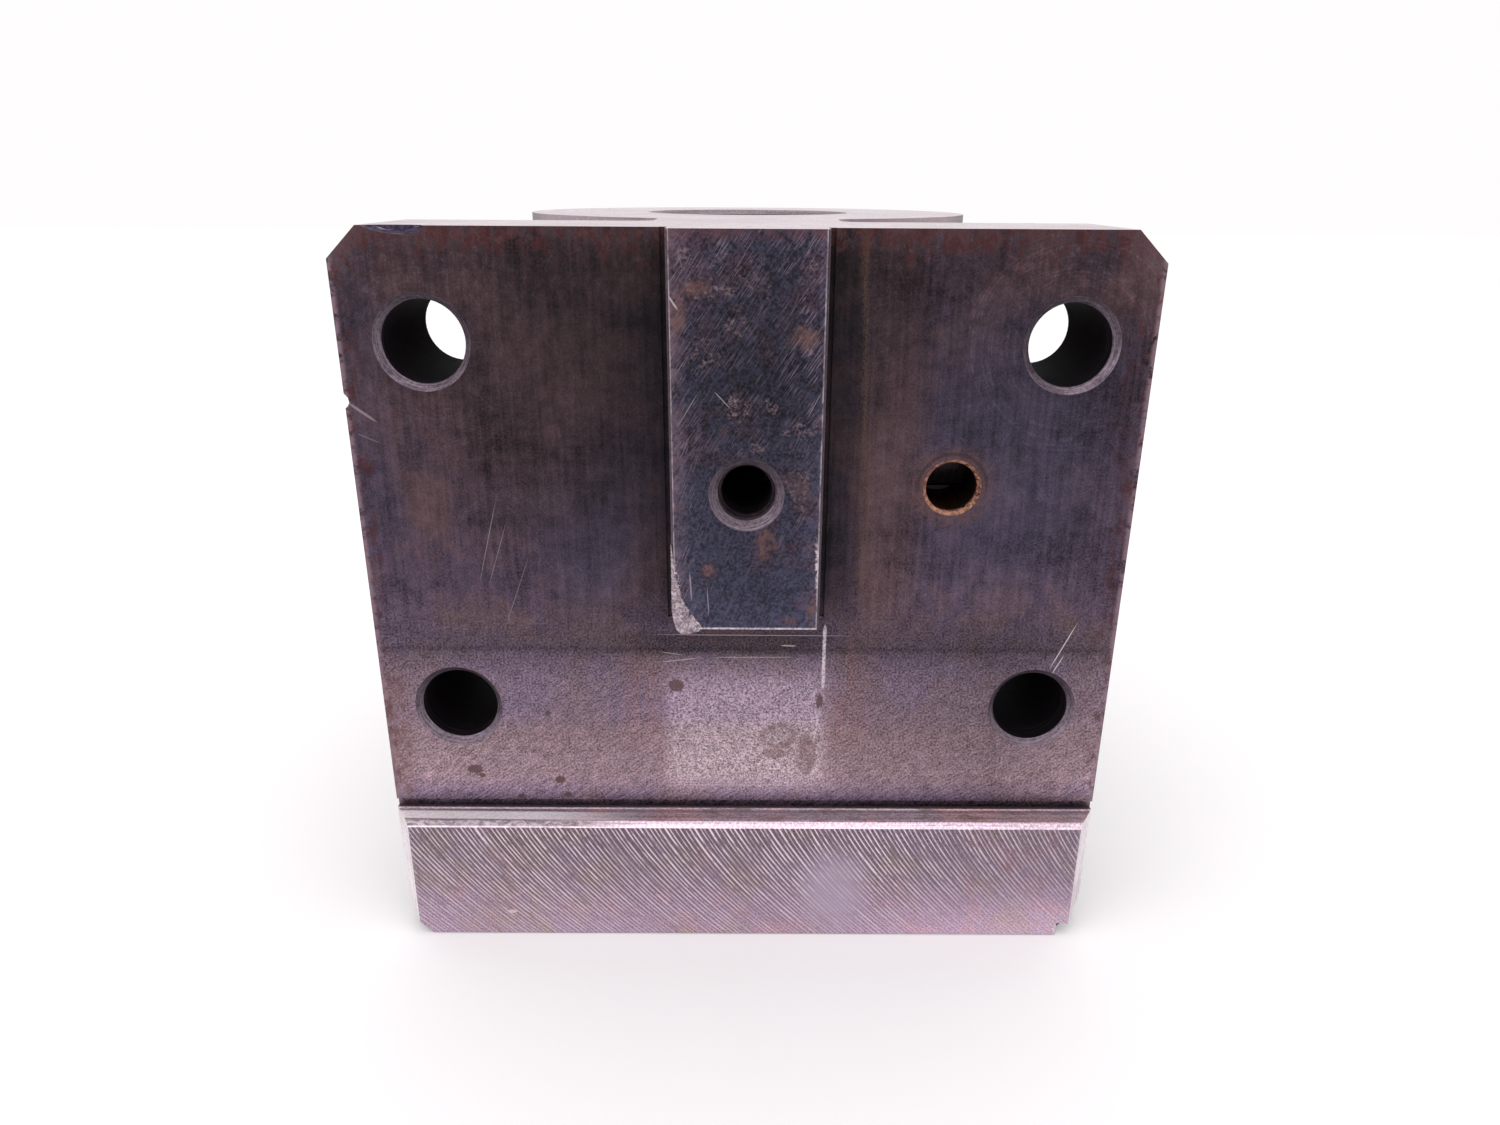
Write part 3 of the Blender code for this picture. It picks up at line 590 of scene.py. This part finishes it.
def lip_top_material():
    """Ledge and chamfer of the lip: fine ground lines, brown staining, the bruised left end and a painted shade in
    the groove at its root.
    """
    s = Steel("lip_top")
    x, y = s.x, s.y
    grain = s.grain(2.0, 0.14)
    lines = s.noise(1.0, 2.0, 0.6, at=s.stretch(0.03, 4.0, 0.03)).step(0.35, 0.65)
    ledge = y.step(-4.45, -4.25)
    # shade is how bright each strip across the ledge is; past the root, in the groove, it paints the shadow.
    shade = y.curve(
        (-5.3, .86), (-4.5, .70), (-4.2, .34), (-3.0, .27), (-1.9, .33), (-1.3, .22),
        (-0.7, .26), (-0.4, .70), (-0.1, .70), (0.1, .10), (1.0, .03))
    bright = shade * (lines * 0.4 + grain * 0.5 + 0.52)
    warm = s.noise(0.07, 4.0, 0.6, at=s.shifted(3.0, 0.0, 0.0)).step(0.44, 0.6) * ledge
    colour = s.tint(s.mix((1.30, 1.0, 1.18), (1.56, 1.0, 1.10), warm), bright)
    brown = s.noise(0.5, 4.0, 0.7, at=s.stretch(0.4, 1.0, 1.0, offset=(7.0, 0.0, 0.0))).step(0.50, 0.64)
    colour = s.mix(colour, (0.19, 0.10, 0.085), brown * x.step(-24.0, -8.0) * ledge * 0.55)
    from_end = x + 62.0
    white = x.step(-16.0, -40.0) * s.band(y + from_end * 0.012, -3.7, -1.2, 0.5)
    colour = s.mix(colour, (1.0, 0.92, 0.96), white * (grain * 0.2 + 0.8))
    bruise = (y + from_end * 0.018).step(-3.6, -4.1) * y.step(-5.2, -5.0) * x.step(-18.0, -32.0)
    folds = s.noise(0.9, 4.0, 0.7, distortion=1.5, at=s.stretch(0.5, 1.0, 1.0)).step(0.34, 0.64)
    colour = s.mix(colour, s.mix((0.15, 0.115, 0.135), (0.62, 0.53, 0.57), folds), bruise * 0.92)
    height = grain * 0.4 + lines * 0.3 + bruise * folds * 2.5
    s.finish(colour, grain * 0.15 + 0.34, 0.2, height, 0.05, 0.4)


def machined_material(name, dark, light, pitch, seed, rust=0.25, metallic=0.7, rough=0.36, lighter_above=None):
    """Milled, ground or turned steel with faint rust; pitch is how close its cutter marks lie along each axis."""
    s = Steel(name)
    marks = s.noise(1.0, 3.0, 0.6, at=s.stretch(*pitch, offset=(seed, 0.0, seed))).step(0.34, 0.66)
    cloud = s.noise(0.06, 4.0, 0.6, at=s.shifted(0.0, seed, 0.0))
    grain = s.grain(2.2, 0.15)
    colour = s.mix(dark, light, marks * 0.4 + grain * 0.3 + (cloud - 0.5) * 1.6 + 0.15)
    mottled = s.noise(0.35, 6.0, 0.78, at=s.shifted(seed, seed, 0.0))
    brown = (mottled + (cloud - 0.5) * 0.5).step(0.55, 0.70)
    colour = s.mix(colour, (0.105, 0.05, 0.045), brown * rust)
    if lighter_above:
        # A lighter, mottled band near the top of the wall's front.
        rubbed = (s.z - lighter_above).step(0.0, 6.0) * s.y.step(76.0, 58.0)
        colour = s.mix(colour, (0.42, 0.33, 0.365), rubbed * (mottled * 0.8 + 0.4))
    hair = s.noise(1.0, 2.0, 0.5, at=s.stretch(0.1, 4.0, 4.0, turn=(15.0, 35.0, 20.0))).step(0.62, 0.70)
    at = s.stretch(4.0, 4.0, 0.08, turn=(10.0, -20.0, 40.0), offset=(seed, 3.0, 1.0))
    hair = hair.max(s.noise(1.0, 2.0, 0.5, at=at).step(0.62, 0.70))
    colour = s.mix(colour, s.tint(colour, 2.0), hair * 0.45)
    height = marks * 0.5 + grain * 0.4 + brown * 0.6 - hair * 0.5
    s.finish(colour, grain * 0.12 + rough + brown * 0.12, metallic, height, 0.035, 0.4)


def edge_material():
    """Bare steel where handling has rubbed the edges, with a painted highlight that makes them brightest along the
    key and at the top, broken by what patina is left.
    """
    s = Steel("worn_edge_and_highlight")
    grain = s.grain(1.6, 0.14)
    long = s.noise(0.14, 4.0, 0.65)
    # on_key and on_top brighten the edges along the key and at the top: painted highlight.
    on_key = s.y.step(-1.0, -3.5) * s.x.abs().step(14.0, 13.0) * s.z.step(60.0, 63.0)
    on_top = s.z.step(127.8, 128.4)
    rub = (grain * 0.45 + long * 0.6 + on_key * 0.22 + on_top * 0.16 - 0.02).step(0.40, 0.72)
    colour = s.mix((0.085, 0.055, 0.068), (0.60, 0.49, 0.54), rub)
    # Painted shade: the edges inside the port and gallery are black.
    in_port = s.band(s.x, -10.0, 66.0, 0.5) * s.band(s.z, 81.0, 94.0, 0.5) * s.band(s.y, 1.2, 25.0, 0.4)
    colour = s.mix(colour, SHADE_BLACK, in_port)
    s.finish(colour, grain * 0.15 + in_port * 0.6 + 0.3, (1.0 - in_port) * 0.7, grain, 0.03, 0.4)


def chamfer_material():
    """Countersinks of the mounting holes: turned steel, cleaner than the face, with painted light on the part of
    each that looks up.
    """
    s = Steel("hole_chamfer")
    grain = s.grain(1.8, 0.14)
    turned = s.noise(1.0, 1.0, 0.5, at=s.stretch(0.25, 7.0, 0.25)).step(0.4, 0.6)
    # Painted light: each countersink is lighter on its lower part, which looks up, and darker on its upper part.
    low = s.z.curve(
        (37, 1.5), (42, 1.35), (48, .85), (54, .6), (79, .6), (81, 1.45), (87, 1.1), (94, .65),
        (99, .6), (102, 1.5), (107, 1.35), (113, .85), (120, .6))
    colour = s.tint(s.mix((0.060, 0.044, 0.060), (0.21, 0.16, 0.20), grain * 0.4 + turned * 0.5), low)
    s.finish(colour, 0.32, 0.5, grain * 0.4 + turned * 0.5, 0.03, 0.4)


def rust_material():
    """Orange rust in the coolant port's mouth, turning black further in as painted shade."""
    s = Steel("port_rust")
    grain = s.noise(1.6, 5.0, 0.75).step(0.36, 0.64)
    low = (s.z - COOLANT_Z + (s.x - PORT_X) * 0.4).step(1.5, -4.5)
    colour = s.mix((0.07, 0.022, 0.014), (0.60, 0.31, 0.215), grain * 0.85 + low * 0.35 - 0.12)
    # Painted shade: the port's mouth turns black further in.
    deep = s.y.step(0.75, 1.7)
    colour = s.mix(colour, s.mix(SHADE_BLACK, (0.05, 0.016, 0.006), low * grain), deep)
    s.finish(colour, 0.6, 0.2, grain, 0.1, 0.05)


def knock_material():
    """Crushed bare metal of the key's corner."""
    s = Steel("crushed_metal")
    shell = s.noise(1.1, 4.0, 0.7, distortion=1.2).step(0.34, 0.62)
    grain = s.grain(2.0, 0.15)
    colour = s.mix((0.15, 0.10, 0.125), (0.62, 0.52, 0.57), shell * 0.6 + grain * 0.4)
    s.finish(colour, 0.38, 0.65, shell + grain * 0.4, 0.12, 0.4)


def dent_material():
    """The dent in the top corner: folded metal that kept its dark patina, with bright lips."""
    s = Steel("dented_metal")
    grain = s.grain(1.4, 0.15)
    lips = s.noise(1.0, 2.0, 0.6, at=s.stretch(0.12, 2.2, 2.2)).step(0.58, 0.68)
    colour = s.mix(s.mix((0.022, 0.014, 0.034), (0.07, 0.045, 0.095), grain), (0.60, 0.50, 0.56), lips * 0.4)
    s.finish(colour, 0.45, 0.6, grain * 0.5 + lips, 0.05, 0.2)


def wall_material():
    """Walls of the drilled holes: painted near-black as shade, with fine drill rings near the mouths."""
    s = Steel("hole_wall")
    rings = s.noise(1.0, 2.0, 0.6, at=s.stretch(0.1, 2.4, 0.1)).step(0.5, 0.66)
    colour = s.mix((0.008, 0.006, 0.008), (0.055, 0.042, 0.052), rings * s.y.step(7.0, 0.0) * 0.6)
    s.finish(colour, 0.7, 0.0, rings, 0.03, 0.02)


def plain_steel(name, dark, light, rough, metallic):
    """Turned steel with a fine lathe finish and a little wear."""
    s = Steel(name)
    fine = s.noise(2.2, 4.0, 0.7).step(0.3, 0.7)
    spots = s.noise(0.6, 4.0, 0.7).step(0.5, 0.66)
    colour = s.mix(dark, light, fine * 0.6 + spots * 0.4)
    s.finish(colour, fine * 0.12 + rough, metallic, fine + spots * 0.5, 0.015, 0.4)


# How cutter marks run: up the block, round its head and across its top
ALONG_Z = (1.6, 1.6, 0.04)
ROUND_Z = (0.04, 0.04, 2.6)
ACROSS = (0.05, 2.2, 1.0)

plate_material()
key_material()
lip_material()
lip_top_material()
machined_material("block_side", (0.045, 0.033, 0.040), (0.15, 0.115, 0.135), ALONG_Z, 3.0, rust=0.45)
machined_material("lip_end", (0.50, 0.43, 0.46), (0.92, 0.86, 0.89), ALONG_Z, 5.0, rust=0.1)
machined_material("block_top", (0.44, 0.365, 0.40), (0.74, 0.65, 0.69), ACROSS, 9.0, rust=0.3, rough=0.26)
# head_side's colours are lightened: painted light and reflection on the head's wall, which lies partly in shadow.
machined_material("head_side", (0.062, 0.046, 0.056), (0.20, 0.155, 0.18), ROUND_Z, 17.0, rust=0.3,
                  lighter_above=119.0)
machined_material("bore_wall", (0.12, 0.10, 0.115), (0.32, 0.28, 0.30), ROUND_Z, 27.0, rust=0.1, rough=0.26)
edge_material()
chamfer_material()
rust_material()
knock_material()
dent_material()
wall_material()
plain_steel("screw_black", (0.022, 0.021, 0.024), (0.07, 0.066, 0.07), 0.34, 0.6)
plain_steel("plug_steel", (0.16, 0.145, 0.14), (0.42, 0.39, 0.38), 0.3, 0.85)

SLOTS = ["block_side", "plate_face", "key_face", "lip_face", "lip_top", "lip_end", "block_top", "head_side",
         "bore_wall", "hole_wall", "hole_chamfer", "port_rust", "crushed_metal", "dented_metal", "worn_edge_and_highlight"]


# Shapes

def add_object(name, data):
    """Adds an object to the scene and returns it."""
    obj = bpy.data.objects.new(name, data)
    bpy.context.scene.collection.objects.link(obj)
    return obj


def copy_of(node, name):
    """Copies a CAD node's mesh into a new object, welded and with its flat faces joined."""
    mesh = bpy.data.objects[node].data.copy()
    work = bmesh.new()
    work.from_mesh(mesh)
    bmesh.ops.remove_doubles(work, verts=work.verts, dist=2e-6)
    bmesh.ops.dissolve_degenerate(work, edges=work.edges, dist=1e-6)
    bmesh.ops.dissolve_limit(work, angle_limit=math.radians(0.6), verts=work.verts, edges=work.edges)
    work.to_mesh(mesh)
    work.free()
    return add_object(name, mesh)


def bevelled(obj, width, material_index, segments=2, angle=28):
    """Breaks the sharp edges of an object by a fine round whose faces take a material, and applies it."""
    bevel = obj.modifiers.new("edges", "BEVEL")
    bevel.width = width
    bevel.segments = segments
    bevel.limit_method = "ANGLE"
    bevel.angle_limit = math.radians(angle)
    bevel.material = material_index
    bevel.use_clamp_overlap = True
    bevel.miter_outer = "MITER_ARC"
    weighted = obj.modifiers.new("normals", "WEIGHTED_NORMAL")
    weighted.weight = 100
    weighted.keep_sharp = True
    bpy.context.view_layer.update()
    graph = bpy.context.evaluated_depsgraph_get()
    mesh = bpy.data.meshes.new_from_object(obj.evaluated_get(graph))
    obj.modifiers.clear()
    obj.data = mesh


# Reaches that take in a feature's faces
HOLE_REACH = 8.2
PORT_REACH = 5.2
KEY_HOLE_REACH = 7.0
BORE_REACH = 24.0
DENT_PLACE = (-55.0, 129.2)
DENT_REACH = 6.0
PLATE_BACK = 26.0
HEAD_START = 27.0
# A face looks along an axis where its normal's share of it is larger
SQUARE = 0.98


def slot_for(centre, normal):
    """Names the finish of a face of the block by where it lies and which way it looks."""
    x, y, z = (value / MM for value in centre)
    for hole_x in (-HOLE_X, HOLE_X):
        for hole_z in HOLE_ROWS:
            near = math.hypot(x - hole_x, z - hole_z) < HOLE_REACH and y < PLATE_BACK
            if near and abs(normal.y) < 0.95:
                return "hole_wall" if abs(normal.y) < 0.3 else "hole_chamfer"
    if math.hypot(x - PORT_X, z - COOLANT_Z) < PORT_REACH and y < 15.0 and normal.y > -SQUARE:
        return "port_rust" if y < 8.0 else "hole_wall"
    if math.hypot(x, z - COOLANT_Z) < KEY_HOLE_REACH and y < 66.0 and normal.y > -SQUARE:
        return "hole_chamfer" if y < -1.5 else "hole_wall"
    if normal.y < -SQUARE and y < 1.0:
        if y < -5.15:
            return "lip_face"
        return "key_face" if y < -4.8 else "plate_face"
    in_dent = math.hypot(x - DENT_PLACE[0], z - DENT_PLACE[1]) < DENT_REACH and y < 2.6
    if in_dent and abs(normal.z) < 0.995 and normal.y > -SQUARE:
        return "dented_metal"
    if z < 27.0 and y < 1.0 and normal.z > 0.5 or 24.0 < z < 26.6 and y < 1.2:
        return "lip_top"
    if y < 0.0 and z < 25.0 and abs(normal.x) > 0.5:
        return "lip_end"
    if math.hypot(x, y - BORE_Y) < BORE_REACH and abs(normal.z) < 0.9:
        return "bore_wall"
    if abs(normal.z) > 0.9 and (z > 128.0 or y < 0.5):
        return "block_top"
    return "head_side" if y > HEAD_START else "block_side"


def cut_lower_corners(obj, half, height):
    """Takes the lower corners off by planes at 45 degrees that pass this height at this half width."""
    work = bmesh.new()
    work.from_mesh(obj.data)
    for side in (-1, 1):
        everything = work.verts[:] + work.edges[:] + work.faces[:]
        cut = bmesh.ops.bisect_plane(work, geom=everything, dist=1e-6, clear_outer=True,
                                     plane_co=(side * half * MM, 0.0, height * MM), plane_no=(side, 0.0, -1.0))
        open_edges = [part for part in cut["geom_cut"] if isinstance(part, bmesh.types.BMEdge)]
        bmesh.ops.edgenet_fill(work, edges=open_edges)
    work.to_mesh(obj.data)
    work.free()


LIP_END_X = 62.1
CORNER_CUT = 2.4
EDGE_ROUND = 0.28


def dress_body():
    """Replaces the block by a copy with broken edges and a finish for each face."""
    body = copy_of("holder_body", "holder_block")
    cut_lower_corners(body, LIP_END_X, CORNER_CUT)
    body.data.materials.clear()
    for name in SLOTS:
        body.data.materials.append(MATERIALS[name])
    for face in body.data.polygons:
        face.material_index = SLOTS.index(slot_for(face.center, face.normal))
    body.data.shade_smooth()
    bevelled(body, EDGE_ROUND * MM, SLOTS.index("worn_edge_and_highlight"))
    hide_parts("holder_body")
    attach(body, "holder")


def mesh_object(name, vertices, faces, material, body, smooth):
    """Makes an object from points in metres, which rides on a body; edges over the smooth angle stay sharp."""
    mesh = bpy.data.meshes.new(name)
    mesh.from_pydata(vertices, [], faces)
    mesh.shade_smooth()
    mesh.set_sharp_from_angle(angle=math.radians(smooth))
    mesh.materials.append(MATERIALS[material])
    work = bmesh.new()
    work.from_mesh(mesh)
    bmesh.ops.recalc_face_normals(work, faces=work.faces)
    work.to_mesh(mesh)
    work.free()
    obj = add_object(name, mesh)
    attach(obj, body)
    return obj


def between(value, stops):
    """Returns the value at a place along a list of (place, value) stops."""
    for (a, low), (b, high) in zip(stops, stops[1:]):
        if value <= b:
            return low + (high - low) * max(0.0, (value - a) / (b - a))
    return stops[-1][1]


# The crushed corner's left and right outlines, as (z, x), and how tall its shells stand, as (z, share)
CRUSH_LEFT = ((62.7, -11.1), (63.6, -11.9), (65.2, -12.35), (67.0, -12.62), (79.0, -12.58))
CRUSH_RIGHT = ((62.7, -9.9), (63.3, -8.0), (64.3, -7.5), (65.6, -8.5), (67.4, -9.7), (70.0, -11.0),
               (74.0, -11.9), (79.0, -12.5))
CRUSH_HEIGHT = ((62.7, 1.0), (67.0, 1.0), (71.0, 0.45), (79.0, 0.05))
CRUSH_LOW, CRUSH_HIGH = 62.7, 79.0
CRUSH_ROWS, CRUSH_COLUMNS = 64, 22
CRUSH_BACK = -3.6
CRUSH_FACE = -4.96
CRUSH_LIMIT = -5.29
NOISE_APART = (9.3, 41.7, 77.1)


def noise_shift(place):
    """Returns a vector of three noises; noise_vector isn't used, because its values change from run to run."""
    return Vector([noise.noise(place + Vector((0.0, 0.0, apart))) for apart in NOISE_APART])


def crushed_surface(x, z, share):
    """Returns how far forward the crushed metal stands; share is the place from its left side to its right."""
    rim = min(1.0, 4.0 * min(share, 1.0 - share) + 0.1) * min(1.0, (z - CRUSH_LOW) / 0.5 + 0.1)
    shell = noise.noise(Vector((x * 0.9, z * 0.75, 3.0)) + noise_shift(Vector((x, z, 1.0)) * 0.6) * 0.9)
    shell = 1.0 - abs(shell) * 2.2
    fine = noise.noise(Vector((x * 3.1, z * 3.1, 7.0)))
    folds = max(0.0, shell * 0.24 + fine * 0.07) * rim * between(z, CRUSH_HEIGHT)
    return max(CRUSH_FACE - folds - 0.03 * rim, CRUSH_LIMIT)


def crushed_corner():
    """The key's lower left corner: metal folded over in shells, which hangs below the key's end."""
    vertices = []
    for is_back in (False, True):
        for i in range(CRUSH_ROWS + 1):
            z = CRUSH_LOW + (CRUSH_HIGH - CRUSH_LOW) * (i / CRUSH_ROWS) ** 1.3
            left, right = between(z, CRUSH_LEFT), between(z, CRUSH_RIGHT)
            for j in range(CRUSH_COLUMNS + 1):
                share = j / CRUSH_COLUMNS
                x = left + (right - left) * share
                if is_back:
                    vertices.append((x * MM, CRUSH_BACK * MM, max(z, CRUSH_LOW + 0.4) * MM))
                else:
                    vertices.append((x * MM, crushed_surface(x, z, share) * MM, z * MM))
    wide = CRUSH_COLUMNS + 1
    layer = (CRUSH_ROWS + 1) * wide
    faces = []
    for i in range(CRUSH_ROWS):
        for j in range(CRUSH_COLUMNS):
            a = i * wide + j
            faces.append((a, a + 1, a + wide + 1, a + wide))
            faces.append((a + layer, a + layer + wide, a + layer + wide + 1, a + layer + 1))
    for i in range(CRUSH_ROWS):
        for j in (0, CRUSH_COLUMNS):
            a = i * wide + j
            faces.append((a, a + wide, a + wide + layer, a + layer))
    for j in range(CRUSH_COLUMNS):
        for i in (0, CRUSH_ROWS):
            a = i * wide + j
            faces.append((a, a + layer, a + layer + 1, a + 1))
    mesh_object("crushed_corner", vertices, faces, "crushed_metal", "holder", 60)


def ring_mesh(rings, segments, closed):
    """Returns the points and faces of rings of points about a common axis, with both ends closed or open."""
    vertices = [point for ring in rings for point in ring]
    faces = []
    for i in range(len(rings) - 1):
        for j in range(segments):
            a, b = i * segments + j, i * segments + (j + 1) % segments
            faces.append((a, b, b + segments, a + segments))
    if closed:
        last = (len(rings) - 1) * segments
        faces.append(tuple(range(segments)))
        faces.append(tuple(range(last, last + segments)))
    return vertices, faces


THREAD_PITCH = 1.75
RINGS_PER_PITCH = 14
SCREW_THREAD = 0.95
SCREW_CHAMFER = 1.2
SOCKET_APOTHEM = 3.0
SOCKET_CHAMFER = 0.25
SOCKET_DEPTH = 6.6
SOCKET_DRILL = 7.0
SOCKET_DRILL_RADIUS = 2.2
HOLE_THREAD = 0.25
HOLE_RADIUS = 6.33
HOLE_SCREW_GAP = 0.4
HOLE_MOUTH_GAP = 0.9
SEGMENTS = 72
ANGLES = [2 * math.pi * j / SEGMENTS for j in range(SEGMENTS)]


def thread_depth(along, angle, depth):
    """Returns how far a thread's groove cuts in at a place along the axis and an angle."""
    share = (along / THREAD_PITCH - angle / (2 * math.pi)) % 1.0
    return depth * min(1.0, max(0.0, 1.25 - abs(share - 0.5) * 3.0))


def hexagon(angle):
    """Returns how far the socket's wall is from its axis at an angle."""
    return SOCKET_APOTHEM / math.cos((angle + math.pi / 6) % (math.pi / 3) - math.pi / 6)


def ring_at(along, axis, reach):
    """Returns a ring of points about a screw's axis, as far out as reach gives for each angle."""
    return [(reach(t) * math.cos(t) * MM, along * MM, (axis + reach(t) * math.sin(t)) * MM) for t in ANGLES]


def along_thread(start, end):
    """Returns the places of a thread's rings from start to end."""
    steps = int((end - start) / THREAD_PITCH * RINGS_PER_PITCH)
    return [start + (end - start) * i / steps for i in range(steps + 1)]


def threaded_screw(index):
    """A clamp screw with its thread cut in and its hexagon socket, in place of the plain solid."""
    low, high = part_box(f"clamp_screw_{index}")
    start, end = low.y / MM, high.y / MM
    axis = (low.z + high.z) / 2 / MM
    radius = (high.x - low.x) / 2 / MM
    rings = []
    for along in along_thread(start, end):
        cone = radius - SCREW_CHAMFER + min(SCREW_CHAMFER, along - start, end - along)
        rings.append(ring_at(along, axis, lambda t: min(cone, radius - thread_depth(along, t, SCREW_THREAD))))
    rings.append(ring_at(end, axis, lambda t: hexagon(t) + SOCKET_CHAMFER))
    rings.append(ring_at(end - SOCKET_CHAMFER, axis, hexagon))
    rings.append(ring_at(end - SOCKET_DEPTH, axis, hexagon))
    rings.append(ring_at(end - SOCKET_DRILL, axis, lambda t: SOCKET_DRILL_RADIUS))
    vertices, faces = ring_mesh(rings, SEGMENTS, True)
    obj = mesh_object(f"set_screw_{index}", vertices, faces, "screw_black", f"screw_{index}", 30)
    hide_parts(f"clamp_screw_{index}")


def tapped_hole(index):
    """Thread ridges in the open part of a clamp screw's hole."""
    low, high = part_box(f"clamp_screw_{index}")
    axis = (low.z + high.z) / 2 / MM
    start = high.y / MM + HOLE_SCREW_GAP
    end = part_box("holder_body")[1].y / MM - HOLE_MOUTH_GAP
    rings = [ring_at(along, axis, lambda t: HOLE_RADIUS - thread_depth(along, t, HOLE_THREAD))
             for along in along_thread(start, end)]
    vertices, faces = ring_mesh(rings, SEGMENTS, False)
    mesh_object(f"thread_{index}", vertices, faces, "screw_black", "holder", 30)


dress_body()
crushed_corner()
for index in (1, 2, 3):
    threaded_screw(index)
    tapped_hole(index)
bpy.data.objects["gallery_plug"].data.materials[0] = MATERIALS["plug_steel"]


# Floor, world, lamps and camera

STUDIO_WHITE = (1.0, 0.985, 0.99, 1.0)
FLOOR_HALF = 3.0
FLOOR_DROP = 0.0002
FLOOR_GLOW = 0.09


def floor():
    """Pale floor that shows white and keeps the block's shadow."""
    mesh = bpy.data.meshes.new("floor")
    work = bmesh.new()
    bmesh.ops.create_grid(work, x_segments=1, y_segments=1, size=FLOOR_HALF)
    work.to_mesh(mesh)
    work.free()
    obj = add_object("floor", mesh)
    obj.location = (0.0, 0.0, -FLOOR_DROP)
    material = bpy.data.materials.new("floor_white")
    material.use_nodes = True
    shader = material.node_tree.nodes["Principled BSDF"]
    shader.inputs["Base Color"].default_value = (0.95, 0.94, 0.945, 1.0)
    shader.inputs["Roughness"].default_value = 0.9
    shader.inputs["Specular IOR Level"].default_value = 0.1
    shader.inputs["Emission Color"].default_value = STUDIO_WHITE
    shader.inputs["Emission Strength"].default_value = FLOOR_GLOW
    mesh.materials.append(material)


SEEN_LEVEL = 1.0
LIGHT_LEVEL = 1.0


def world():
    """White surroundings for the camera, reflections and glass, and a plain level of light for the rest."""
    studio = bpy.data.worlds.new("studio")
    bpy.context.scene.world = studio
    studio.use_nodes = True
    tree = studio.node_tree
    tree.nodes.clear()
    path = tree.nodes.new("ShaderNodeLightPath")
    seen = Field(tree, path.outputs["Is Camera Ray"]).max(Field(tree, path.outputs["Is Glossy Ray"]))
    seen = seen.max(Field(tree, path.outputs["Is Transmission Ray"]))
    mix = tree.nodes.new("ShaderNodeMixShader")
    tree.links.new(seen.socket, mix.inputs[0])
    for slot, level in zip(mix.inputs[1:], (LIGHT_LEVEL, SEEN_LEVEL)):
        background = tree.nodes.new("ShaderNodeBackground")
        background.inputs["Color"].default_value = STUDIO_WHITE
        background.inputs["Strength"].default_value = level
        tree.links.new(background.outputs[0], slot)
    out = tree.nodes.new("ShaderNodeOutputWorld")
    tree.links.new(mix.outputs[0], out.inputs[0])


def lamp(name, place, size, watts):
    """A square soft lamp that looks at the middle of the block."""
    data = bpy.data.lights.new(name, "AREA")
    data.shape = "SQUARE"
    data.size = size
    data.energy = watts
    data.color = (1.0, 0.97, 0.985)
    obj = add_object(name, data)
    obj.location = place
    target = Vector((0.0, 0.03, 0.06))
    obj.rotation_euler = (target - Vector(place)).to_track_quat("-Z", "Y").to_euler()


# The photograph's camera, as fitted to the hole rims and the outline: metres, degrees and pixels
CAMERA_PLACE = (-0.000065, -0.16608, 0.135386)
CAMERA_PITCH = 20.322
CAMERA_YAW = 0.2176
CAMERA_ROLL = 0.366
FOCAL_PIXELS = 1027.47
SHIFT_PIXELS = (0.51, 1.06)
PHOTO_WIDTH = 1500
SENSOR = 36.0


def camera():
    """The photograph's view."""
    data = bpy.data.cameras.new("camera")
    data.sensor_width = SENSOR
    data.sensor_fit = "HORIZONTAL"
    data.lens = FOCAL_PIXELS / PHOTO_WIDTH * SENSOR
    data.clip_start = 0.01
    data.clip_end = 20.0
    data.shift_x, data.shift_y = (pixels / PHOTO_WIDTH for pixels in SHIFT_PIXELS)
    obj = add_object("camera", data)
    pitch, yaw, roll = (math.radians(a) for a in (CAMERA_PITCH, CAMERA_YAW, CAMERA_ROLL))
    forward = Vector((math.sin(yaw) * math.cos(pitch), math.cos(yaw) * math.cos(pitch), -math.sin(pitch)))
    level = Vector((math.cos(yaw), -math.sin(yaw), 0.0))
    up = level.cross(forward)
    right = level * math.cos(roll) + up * math.sin(roll)
    top = level * -math.sin(roll) + up * math.cos(roll)
    turn = Matrix((right, top, -forward)).transposed().to_4x4()
    obj.matrix_world = Matrix.Translation(CAMERA_PLACE) @ turn
    bpy.context.scene.camera = obj


floor()
world()
lamp("overhead", (0.0, 0.05, 0.9), 0.8, 1.2)
lamp("left", (-0.8, -0.5, 0.5), 0.6, 1.0)
camera()
bpy.context.scene.view_settings.view_transform = "Standard"
